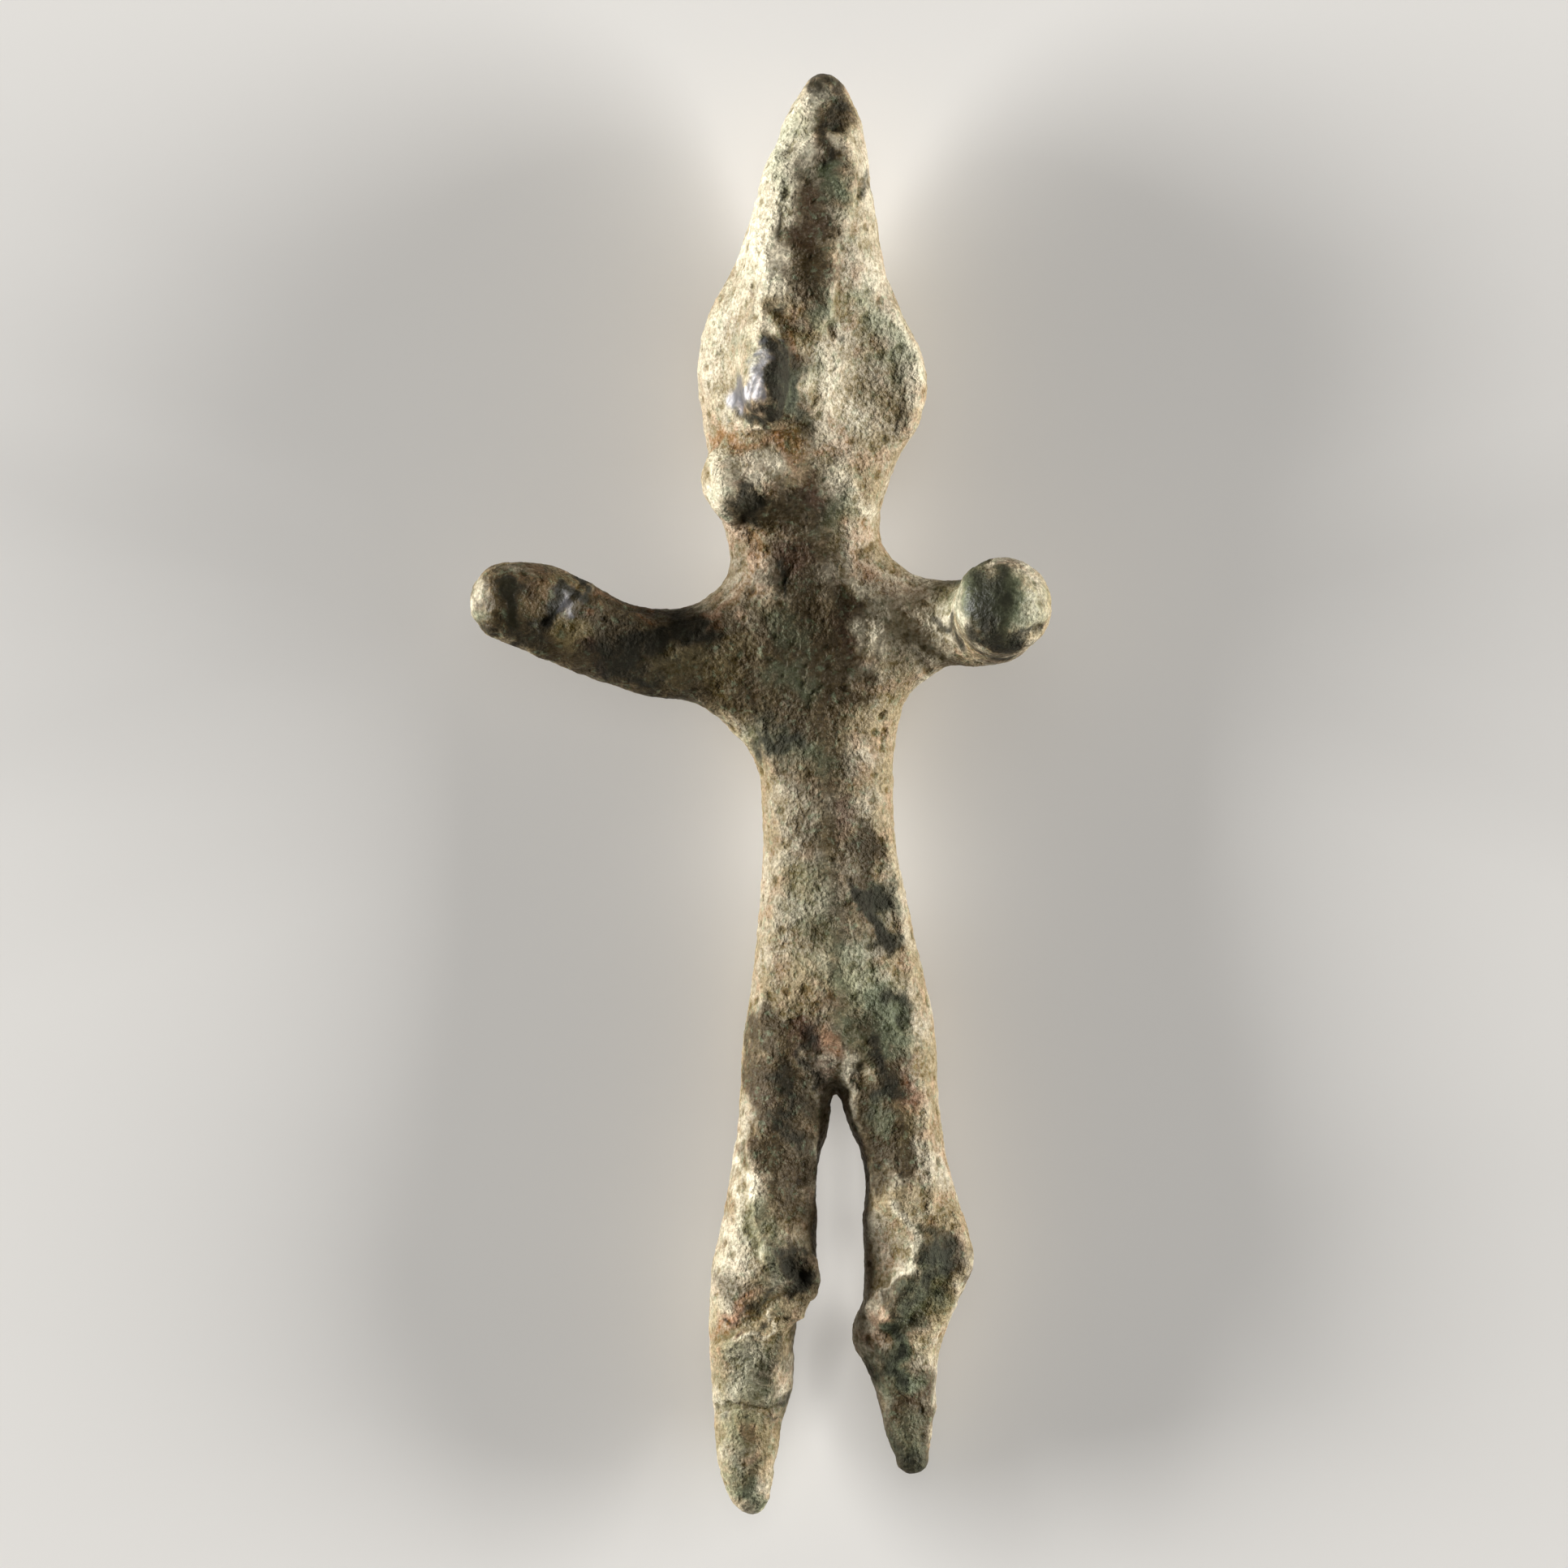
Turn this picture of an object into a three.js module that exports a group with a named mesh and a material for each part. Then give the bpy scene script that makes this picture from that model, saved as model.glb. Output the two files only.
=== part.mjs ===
// A small solid-cast bronze figurine of a smiting god, of the ancient Levant, lying on its back.
// It is one casting: a tall pointed hat over a pinched face, a slim body, two short arms and two
// legs that end in tapering pegs. Its right arm reaches out sideways and its left forearm points
// forward, which is up here. The head points to +Y and the front faces +Z.
//
// The form is a closed surface around one smooth field. The body and the legs are stacks of
// rounded sections, the arms are sections along a bent line, and knobs and hollows are blended in.
import * as THREE from "three";

// Driving sizes, in millimetres.
const figureHeight = 90; // from the tip of the longer peg to the tip of the hat
const backWear = 0.2; // how much is worn off the high points of the back, as flat spots

// Every place and girth of the figure is a count of thousandths of its height.
const share = figureHeight / 1000;

// The net's cells: across the figure, and along its height, where it curves less.
const cellAcross = 10.6 * share;
const cellAlong = 12.4 * share;
const relaxRounds = 5;

// Stack stations run up the figure: [up, side, front, halfWidth, halfDepth, turn].
// side is from the midline towards the viewer's right, front is above the resting plane,
// and turn swings the section's front towards the viewer's right, in degrees.
const trunk = {
  squareness: 2.3,
  stations: [
    [301, 11, 38, 26, 18, 0],
    [308, 11, 38, 48, 29, 0],
    [320, 11.2, 37.5, 60, 36, 0],
    [347, 11.3, 37.5, 62.5, 38.5, 0],
    [375, 9.8, 38.5, 59.5, 38.5, 0],
    [404, 7.6, 40, 54.8, 36, 0],
    [432, 6.2, 41, 50.4, 34, 0],
    [460, 3.8, 41.5, 46.8, 33, 0],
    [488, 2.6, 41, 45.8, 33, 0],
    [516, 1.4, 40, 46.6, 34, 0],
    [544, -0.8, 39.5, 51, 36, 0],
    [566, -4.5, 39.5, 54, 38.5, 0],
    [590, -6, 40, 57, 40.5, 0],
    [612, -6, 41, 57, 41, 0],
    [634, -7, 43, 54.5, 40, 0],
    [655, -8.5, 46, 51.5, 39, -4],
    [683, -12.9, 50, 50.6, 40, -8],
    [700, -13.6, 52, 53.4, 43, -10],
    [711, -15, 53, 57.5, 46, -11],
    [722, -14.9, 54, 62, 48.5, -12],
    [733, -13.9, 54.5, 66, 51, -13],
    [744, -11.8, 54, 70.6, 53, -14],
    [756, -9.9, 53.4, 74, 54.5, -14],
    [767, -8.7, 53.4, 77, 55.5, -14],
    [784, -8.2, 54, 80, 56.5, -13],
    [812, -10.8, 54.6, 75.2, 56, -11],
    [835, -13, 56, 66, 53.5, -8],
    [857, -11.3, 57, 55, 49.5, -5],
    [891, -8.2, 56.5, 45.2, 43, 0],
    [925, -4.8, 55.5, 37, 36.5, 0],
    [947, -2.6, 54.5, 32.4, 31.5, 0],
    [964, -1.4, 54, 27.2, 26.8, 0],
    [980, -0.2, 53.5, 20.6, 20.6, 0],
    [992, 0, 53, 13.4, 14, 0],
    [998, 0, 53, 6.6, 7, 0],
    [1000, 0, 53, 1, 1, 0],
  ],
};

const rightLeg = {
  squareness: 2.2,
  stations: [
    [0, -47.5, 39, 1, 1, 0],
    [2, -49, 39, 6.5, 6, 0],
    [10, -51.6, 38.5, 13.6, 13, 0],
    [24, -53.2, 38, 18.2, 17.5, 0],
    [52, -53.2, 38, 22.6, 22, 0],
    [70, -52, 38, 24.4, 24, 0],
    [80, -50.4, 38.5, 27, 27, 0],
    [94, -49.6, 39, 28.8, 28.5, 0],
    [122, -50.6, 41, 29.8, 29.5, 0],
    [136, -49.6, 43, 31, 30.5, 0],
    [150, -47, 46, 33, 32.5, 10],
    [166, -43.6, 48.5, 34.6, 34, 14],
    [180, -41.4, 48.5, 35.4, 34.5, 14],
    [206, -37.8, 46, 32.6, 33.5, 10],
    [235, -35.2, 43, 30, 31.5, 6],
    [263, -31.2, 41, 29.4, 31, 0],
    [294, -28, 40, 30.4, 32, 0],
    [320, -26, 39, 30.5, 33, 0],
    [345, -19, 38, 28, 30, 0],
    [370, -11, 38, 17, 20, 0],
    [385, -6, 38, 4, 5, 0],
  ],
};

const leftLeg = {
  squareness: 2.2,
  stations: [
    [26.4, 61.9, 39, 1, 1, 0],
    [28.5, 61.6, 39, 5, 5, 0],
    [38, 60.6, 38.5, 11.6, 12, 0],
    [52, 59.2, 38, 15.8, 16, 0],
    [66, 58.2, 38, 18.9, 19, 0],
    [80, 57.2, 37.5, 21, 21, 0],
    [94, 55.6, 37, 22.8, 23, 0],
    [108, 53.4, 36.5, 26, 26, -8],
    [122, 53.4, 37, 28.6, 28, -16],
    [136, 56.4, 40, 31, 29.5, -20],
    [150, 60.6, 43, 33.6, 31, -22],
    [164, 63.4, 46, 36, 32.5, -22],
    [180, 64.6, 47.5, 37, 33.5, -18],
    [192, 63.8, 47, 37.4, 33.5, -14],
    [206, 62, 45.5, 35.8, 33, -10],
    [221, 60.4, 44, 32.6, 31.5, -6],
    [235, 58.6, 43, 29.8, 31, 0],
    [263, 53, 41, 29.6, 31, 0],
    [294, 45.2, 40, 34, 32, 0],
    [320, 43, 39, 34.4, 33, 0],
    [345, 36, 38, 30, 30, 0],
    [370, 27, 38, 17, 20, 0],
    [385, 22, 38, 4, 5, 0],
  ],
};

// Bent-line stations: [side, up, front, girth radius].
const rightArm = {
  stations: [
    [-36, 606, 44, 35.4],
    [-62, 601, 45, 35],
    [-90, 597.5, 47, 32.6],
    [-121, 598.6, 51, 30.2],
    [-154, 608.5, 58, 29.2],
    [-181, 621.5, 68, 31.2],
    [-203, 630.5, 80, 30.5],
    [-216.5, 632.4, 87, 28.6],
  ],
};

const leftArm = {
  stations: [
    [34, 611, 45, 35.4],
    [58, 614.5, 47, 33.5],
    [82, 618.5, 52, 29.8],
    [104, 618.5, 62, 31],
    [115, 619.5, 82, 31],
    [118.5, 622, 108, 30],
    [120, 625.5, 138, 31.5],
    [120.8, 628, 166, 34],
  ],
};

// Knobs are added and hollows are carved: [side, up, front, radius] at each end, and a blend width.
const knobs = {
  hatKeel: { from: [-30, 925, 78, 9], to: [-39, 850, 97, 10], blend: 22 },
  browKeel: { from: [-39, 850, 97, 10], to: [-46, 800, 108, 10], blend: 20 },
  nose: { from: [-42, 804, 102, 11], to: [-40, 772, 111, 16], blend: 16 },
  noseTip: { from: [-46, 792, 115, 8], to: [-46, 768, 121, 11], blend: 8 },
  chin: { from: [-63, 716, 76, 23], to: [-60, 707, 82, 21], blend: 12 },
  jaw: { from: [-44, 714, 82, 17], to: [22, 716, 76, 15], blend: 18 },
  throat: { from: [-52, 698, 58, 19], to: [-43, 668, 50, 19], blend: 14 },
  rightCheek: { from: [52, 785, 58, 13], to: [48, 768, 60, 15], blend: 14 },
  armpit: { from: [-74, 578, 44, 16], to: [-37, 535, 42, 12], blend: 14 },
  rightKnee: { from: [-17, 165, 64, 16], to: [-28, 180, 66, 14], blend: 10 },
  rightShin: { from: [-52, 204, 61, 10], to: [-32, 176, 72, 12], blend: 12 },
  rightAnkle: { from: [-64, 96, 50, 12], to: [-37, 88, 52, 11], blend: 8 },
  leftKnee: { from: [87, 177, 58, 16], to: [74, 178, 67, 15], blend: 10 },
  leftShin: { from: [70, 190, 70, 11], to: [44, 140, 58, 11], blend: 12 },
  leftCalf: { from: [34, 125, 30, 16.5], to: [44, 128, 26, 18], blend: 12 },
  loins: { from: [1, 324, 66, 11], to: [-2, 304, 58, 9], blend: 12 },
  seat: { from: [-20, 340, 28.6, 28], to: [40, 340, 28.6, 29], blend: 16 },
};

const hollows = {
  mouth: { from: [-80, 739, 122, 13], to: [4, 741, 128, 15], blend: 14 },
  rightFace: { from: [68, 806, 169, 90], to: [66, 762, 165, 90], blend: 18 },
  leftWaist: { from: [34, 452, 92, 18], to: [42, 410, 92, 18], blend: 22 },
  breastBone: { from: [-30, 548, 102, 20], to: [-34, 528, 102, 18], blend: 22 },
  smallOfBack: { from: [4, 470, -30, 34], to: [4, 430, -30, 34], blend: 30 },
  rightShinFold: { from: [-78, 142, 94, 16], to: [-40, 152, 96, 15], blend: 12 },
  leftInnerKnee: { from: [26, 200, 96, 20], to: [32, 166, 94, 20], blend: 16 },
};

const limbBlend = { arms: 42 * share, legs: 13 * share };

// A stack of sections: the spline through its stations, read by height up the figure.
function makeStack({ stations, squareness }) {
  const heights = stations.map(([up]) => up * share);
  const values = stations.flatMap(([, side, front, halfWidth, halfDepth, turn]) => [
    side * share,
    front * share,
    halfWidth * share,
    halfDepth * share,
    THREE.MathUtils.degToRad(turn),
  ]);
  const spline = new THREE.CubicInterpolant(heights, values, 5, new Float64Array(5));
  const [low, high] = [heights[0], heights[heights.length - 1]];
  return (x, y, z) => {
    const inside = THREE.MathUtils.clamp(y, low, high);
    const [side, front, halfWidth, halfDepth, turn] = spline.evaluate(inside);
    const [dx, dz] = [x - side, z - front];
    const [c, s] = [Math.cos(turn), Math.sin(turn)];
    const [across, deep] = [dx * c - dz * s, dx * s + dz * c];
    const reach = Math.hypot(across, deep);
    const fill = Math.pow(
      Math.pow(Math.abs(across) / halfWidth, squareness) + Math.pow(Math.abs(deep) / halfDepth, squareness),
      1 / squareness,
    );
    const level = fill > 1e-6 ? reach - reach / fill : -Math.min(halfWidth, halfDepth);
    const beyond = Math.abs(y - inside);
    return beyond > 0 ? Math.hypot(Math.max(level, 0), beyond) : level;
  };
}

// The distance from a point to one tapering round bar.
function barDistance(x, y, z, a, b) {
  const [bx, by, bz] = [b[0] - a[0], b[1] - a[1], b[2] - a[2]];
  const [px, py, pz] = [x - a[0], y - a[1], z - a[2]];
  const along = THREE.MathUtils.clamp((px * bx + py * by + pz * bz) / (bx * bx + by * by + bz * bz), 0, 1);
  const radius = a[3] + (b[3] - a[3]) * along;
  return Math.hypot(px - bx * along, py - by * along, pz - bz * along) - radius;
}

// A bent limb: tapering bars along the smooth curve through its stations.
function makeBentLimb({ stations }, barsPerStation = 5) {
  const line = new THREE.CatmullRomCurve3(stations.map(([x, y, z]) => new THREE.Vector3(x, y, z)));
  const girth = new THREE.CatmullRomCurve3(stations.map(([, , , r]) => new THREE.Vector3(r, 0, 0)));
  const count = (stations.length - 1) * barsPerStation;
  const points = Array.from({ length: count + 1 }, (_, i) => {
    const { x, y, z } = line.getPoint(i / count);
    return [x, y, z, girth.getPoint(i / count).x].map((v) => v * share);
  });
  return (x, y, z) => {
    let nearest = Infinity;
    for (let i = 0; i < count; i++) {
      nearest = Math.min(nearest, barDistance(x, y, z, points[i], points[i + 1]));
    }
    return nearest;
  };
}

const scaled = (place) => place.map((v) => v * share);

function makeBlobs(blobs) {
  return Object.values(blobs).map(({ from, to, blend }) => ({
    from: scaled(from),
    to: scaled(to),
    blend: blend * share,
  }));
}

// The smaller of two distances, with a rounded meeting as wide as the blend.
function smoothMin(a, b, blend) {
  const h = Math.max(blend - Math.abs(a - b), 0) / blend;
  return Math.min(a, b) - (h * h * blend) / 4;
}

const smoothMax = (a, b, blend) => -smoothMin(-a, -b, blend);

function makeFigure() {
  const trunkField = makeStack(trunk);
  const legFields = [makeStack(rightLeg), makeStack(leftLeg)];
  const armFields = [makeBentLimb(rightArm), makeBentLimb(leftArm)];
  const added = makeBlobs(knobs);
  const carved = makeBlobs(hollows);
  return (x, y, z) => {
    let d = trunkField(x, y, z);
    for (const leg of legFields) d = smoothMin(d, leg(x, y, z), limbBlend.legs);
    for (const arm of armFields) d = smoothMin(d, arm(x, y, z), limbBlend.arms);
    for (const k of added) d = smoothMin(d, barDistance(x, y, z, k.from, k.to), k.blend);
    for (const k of carved) d = smoothMax(d, -barDistance(x, y, z, k.from, k.to), k.blend);
    return d;
  };
}

// A net over the surface where the field is zero: one point in each cell that the surface
// crosses, and one quad around each cell edge that it crosses.
function netOver(field, low, high, cell) {
  const counts = low.map((v, i) => Math.ceil((high[i] - v) / cell[i]) + 1);
  const at = (i, j, k) => (k * counts[1] + j) * counts[0] + i;
  const corner = (i, j, k) => [low[0] + i * cell[0], low[1] + j * cell[1], low[2] + k * cell[2]];
  const values = new Float64Array(counts[0] * counts[1] * counts[2]);
  const eachCell = (last, visit) => {
    for (let k = 0; k < counts[2] - last; k++) {
      for (let j = 0; j < counts[1] - last; j++) {
        for (let i = 0; i < counts[0] - last; i++) visit(i, j, k);
      }
    }
  };
  eachCell(0, (i, j, k) => {
    values[at(i, j, k)] = field(...corner(i, j, k));
  });

  const steps = [
    [1, 0, 0],
    [0, 1, 0],
    [0, 0, 1],
  ];
  const points = [];
  const pointOf = new Map();
  eachCell(1, (i, j, k) => {
    const sum = new THREE.Vector3();
    let crossings = 0;
    steps.forEach((step, axis) => {
      for (const u of [0, 1]) {
        for (const v of [0, 1]) {
          const start = [i, j, k];
          start[(axis + 1) % 3] += u;
          start[(axis + 2) % 3] += v;
          const end = start.map((n, a) => n + step[a]);
          const [f0, f1] = [values[at(...start)], values[at(...end)]];
          if (f0 < 0 === f1 < 0) continue;
          const p = new THREE.Vector3(...corner(...start));
          sum.add(p.lerp(new THREE.Vector3(...corner(...end)), f0 / (f0 - f1)));
          crossings++;
        }
      }
    });
    if (!crossings) return;
    pointOf.set(at(i, j, k), points.length);
    points.push(sum.divideScalar(crossings));
  });

  const quads = [];
  eachCell(1, (i, j, k) => {
    const here = [i, j, k];
    steps.forEach((step, axis) => {
      const [side, other] = [steps[(axis + 1) % 3], steps[(axis + 2) % 3]];
      if (here[(axis + 1) % 3] === 0 || here[(axis + 2) % 3] === 0) return;
      const f0 = values[at(i, j, k)];
      const f1 = values[at(...here.map((n, a) => n + step[a]))];
      if (f0 < 0 === f1 < 0) return;
      const around = [
        here,
        here.map((n, a) => n - side[a]),
        here.map((n, a) => n - side[a] - other[a]),
        here.map((n, a) => n - other[a]),
      ].map((c) => pointOf.get(at(...c)));
      quads.push(f0 < 0 ? around : around.reverse());
    });
  });
  return { points, quads };
}

// Evens the net out and brings its points back onto the surface. A point is kept on each tip.
function relax({ points, quads }, field, tips, rounds) {
  const neighbours = points.map(() => new Set());
  for (const quad of quads) {
    quad.forEach((p, i) => {
      neighbours[p].add(quad[(i + 1) % 4]);
      neighbours[p].add(quad[(i + 3) % 4]);
    });
  }
  const kept = new Set();
  for (const tip of tips) {
    const nearest = points.reduce((best, p) => (p.distanceTo(tip) < best.distanceTo(tip) ? p : best));
    nearest.copy(tip);
    kept.add(nearest);
  }

  const probe = 0.02 * share;
  const settle = (p) => {
    for (let pass = 0; pass < 3; pass++) {
      const d = field(p.x, p.y, p.z);
      const slope = new THREE.Vector3(
        field(p.x + probe, p.y, p.z) - field(p.x - probe, p.y, p.z),
        field(p.x, p.y + probe, p.z) - field(p.x, p.y - probe, p.z),
        field(p.x, p.y, p.z + probe) - field(p.x, p.y, p.z - probe),
      ).divideScalar(2 * probe);
      p.addScaledVector(slope, -d / Math.max(slope.lengthSq(), 0.2));
    }
  };
  for (let round = 0; round < rounds; round++) {
    const means = points.map((p, i) => {
      const mean = new THREE.Vector3();
      for (const n of neighbours[i]) mean.add(points[n]);
      return mean.divideScalar(neighbours[i].size);
    });
    points.forEach((p, i) => {
      if (kept.has(p)) return;
      p.lerp(means[i], 0.5);
      settle(p);
    });
  }
}

// Splits each quad along its shorter diagonal.
function trianglesOf({ points, quads }) {
  const index = quads.flatMap(([a, b, c, d]) =>
    points[a].distanceTo(points[c]) < points[b].distanceTo(points[d]) ? [a, b, c, a, c, d] : [b, c, d, b, d, a],
  );
  const geometry = new THREE.BufferGeometry();
  geometry.setAttribute("position", new THREE.Float32BufferAttribute(points.flatMap((p) => p.toArray()), 3));
  geometry.setIndex(index);
  return geometry;
}

// The tips of the hat and of the two pegs, which set the figure's height.
function findTips() {
  const ends = [trunk.stations.at(-1), rightLeg.stations[0], leftLeg.stations[0]];
  return ends.map(([up, side, front]) => new THREE.Vector3(side, up, front).multiplyScalar(share));
}

// The cast body, with the high points of its back worn flat where it lies. It stands on the
// origin's plane, with the origin under the middle of its outline.
function makeCasting() {
  const field = makeFigure();
  const low = [-262, -14, -12].map((v) => v * share);
  const high = [172, 1014, 216].map((v) => v * share);
  const net = netOver(field, low, high, [cellAcross, cellAlong, cellAcross]);
  relax(net, field, findTips(), relaxRounds);

  const size = new THREE.Box3().setFromPoints(net.points);
  const middle = size.getCenter(new THREE.Vector3());
  const wearHeight = size.min.z + backWear;
  for (const p of net.points) {
    p.set(p.x - middle.x, p.y - middle.y, Math.max(p.z - wearHeight, 0));
  }
  const geometry = trianglesOf(net);
  geometry.computeVertexNormals();
  return geometry;
}

const bronze = new THREE.MeshStandardMaterial({ color: 0x7d775f, roughness: 0.72, metalness: 0.35 });

const figurine = new THREE.Mesh(makeCasting(), bronze);
figurine.name = "figurine";

const group = new THREE.Group();
group.name = "smiting_god_figurine";
group.add(figurine);

export default group;
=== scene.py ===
# A small cast bronze figurine of a smiting god. It lies on its back on a pale floor, and the
# camera looks straight down on it. The casting is worked in millimetres and ends in metres.
import math

import bmesh
import bpy
import numpy as np
from mathutils import Matrix, Vector


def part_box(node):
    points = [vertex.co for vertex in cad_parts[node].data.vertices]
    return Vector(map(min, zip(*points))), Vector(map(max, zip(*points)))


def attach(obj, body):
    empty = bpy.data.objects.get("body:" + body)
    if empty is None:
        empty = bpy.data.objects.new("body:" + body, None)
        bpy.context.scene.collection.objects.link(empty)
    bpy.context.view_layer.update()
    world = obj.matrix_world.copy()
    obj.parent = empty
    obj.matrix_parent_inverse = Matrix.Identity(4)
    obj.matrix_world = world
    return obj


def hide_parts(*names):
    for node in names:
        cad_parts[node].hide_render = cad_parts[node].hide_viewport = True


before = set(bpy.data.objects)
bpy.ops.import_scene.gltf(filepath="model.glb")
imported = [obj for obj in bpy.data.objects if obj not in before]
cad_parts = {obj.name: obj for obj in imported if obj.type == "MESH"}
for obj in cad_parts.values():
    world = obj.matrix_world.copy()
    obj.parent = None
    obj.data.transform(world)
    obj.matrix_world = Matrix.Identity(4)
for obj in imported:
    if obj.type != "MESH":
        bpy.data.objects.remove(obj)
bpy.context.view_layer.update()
mm = 0.001

# The picture's frame. Columns and rows below are pixels of its 1932 by 1932.
picture = {
    "width": 1932,
    "hatTipRow": 90,
    "pegTipRow": 1867,
    "figureMiddle": 935,  # the column halfway across the figure
    "midHeight": 4.5 * mm,  # height above the floor at which one pixel has its size
    "cameraRise": 500 * mm,  # of the camera above that height
}
low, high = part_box("figurine")
pixel = (high.y - low.y) / (picture["pegTipRow"] - picture["hatTipRow"])
centre = picture["width"] / 2
aim = Vector((
    (low.x + high.x) / 2 + (centre - picture["figureMiddle"]) * pixel,
    (low.y + high.y) / 2 + ((picture["hatTipRow"] + picture["pegTipRow"]) / 2 - centre) * pixel,
    picture["midHeight"],
))


def seenAt(points):
    # the column and row at which the camera sees points given in millimetres
    nearer = picture["cameraRise"] / (picture["cameraRise"] + aim.z - points[:, 2] * mm)
    columns = centre + (points[:, 0] * mm - aim.x) * nearer / pixel
    rows = centre - (points[:, 1] * mm - aim.y) * nearer / pixel
    return columns, rows


def addObject(name, data):
    made = bpy.data.objects.new(name, data)
    bpy.context.scene.collection.objects.link(made)
    return made


def makeCamera():
    data = bpy.data.cameras.new("camera")
    data.sensor_width = 36
    data.lens = data.sensor_width * picture["cameraRise"] / (picture["width"] * pixel)
    camera = addObject("camera", data)
    camera.location = aim + Vector((0, 0, picture["cameraRise"]))
    bpy.context.scene.camera = camera


# Node trees


def findSocket(sockets, name):
    return next(s for s in sockets if name in (s.identifier, s.name.replace(" ", "")))


def place(tree, kind, settings=None, **feeds):
    # a node with its settings, fed with plain values or with other nodes' sockets
    node = tree.nodes.new(kind)
    for name, value in (settings or {}).items():
        setattr(node, name, value)
    for name, value in feeds.items():
        socket = findSocket(node.inputs, name)
        if isinstance(value, bpy.types.NodeSocket):
            tree.links.new(value, socket)
        else:
            socket.default_value = value
    return node


def reckon(tree, operation, a, b=0.0):
    return place(tree, "ShaderNodeMath", {"operation": operation}, Value=a, Value_001=b).outputs[0]


def times(tree, a, b):
    return reckon(tree, "MULTIPLY", a, b)


def fade(tree, value, start, end, low=0.0, high=1.0):
    # runs smoothly from low to high as the value goes from start to end
    return place(
        tree, "ShaderNodeMapRange", {"interpolation_type": "SMOOTHSTEP"},
        Value=value, FromMin=start, FromMax=end, ToMin=low, ToMax=high,
    ).outputs[0]


def mixTint(tree, factor, a, b):
    node = place(tree, "ShaderNodeMix", {"data_type": "RGBA"}, Factor_Float=factor, A_Color=a, B_Color=b)
    return findSocket(node.outputs, "Result_Color")


def mixNumber(tree, factor, a, b):
    node = place(tree, "ShaderNodeMix", {"data_type": "FLOAT"}, Factor_Float=factor, A_Float=a, B_Float=b)
    return findSocket(node.outputs, "Result_Float")


def noiseAt(tree, coordinates, scale, detail=2.0, roughness=0.5, distortion=0.0):
    return place(
        tree, "ShaderNodeTexNoise", {"noise_dimensions": "3D"},
        Vector=coordinates, Scale=scale, Detail=detail, Roughness=roughness, Distortion=distortion,
    ).outputs[0]


def startGroup(name, kind, inputs, outputs):
    # an empty node group with named inputs and outputs, and its two end nodes
    tree = bpy.data.node_groups.new(name, kind)
    for label, socketType, value in inputs:
        socket = tree.interface.new_socket(name=label, in_out="INPUT", socket_type=socketType)
        if value is not None:
            socket.default_value = value
    for label, socketType in outputs:
        tree.interface.new_socket(name=label, in_out="OUTPUT", socket_type=socketType)
    return tree, tree.nodes.new("NodeGroupInput").outputs, tree.nodes.new("NodeGroupOutput").inputs


def tint(code):
    # a colour as the eye names it, made linear
    parts = [int(code[i:i + 2], 16) / 255 for i in (0, 2, 4)]
    return [*(p / 12.92 if p < 0.04045 else ((p + 0.055) / 1.055) ** 2.4 for p in parts), 1]


# The casting

casting = {
    "mergeDistance": 1e-6,
    "voxel": 0.217,  # mesh size of the worked surface
    "smoothing": 14,  # rounds over the mesh
    "waver": 2.0,  # how far a line strays from its drawn course, in pixels
    "waverSize": 2.4,  # across one stray, in millimetres
    "press": 0.22,  # how unevenly a stroke is pressed, as a share of its lift
    "waverSeeds": (3, 4, 5),  # of the strays across, down and in pressure
    "faceOn": 0.45,  # how squarely a point must face the viewer to take the whole of a stroke
}

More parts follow.
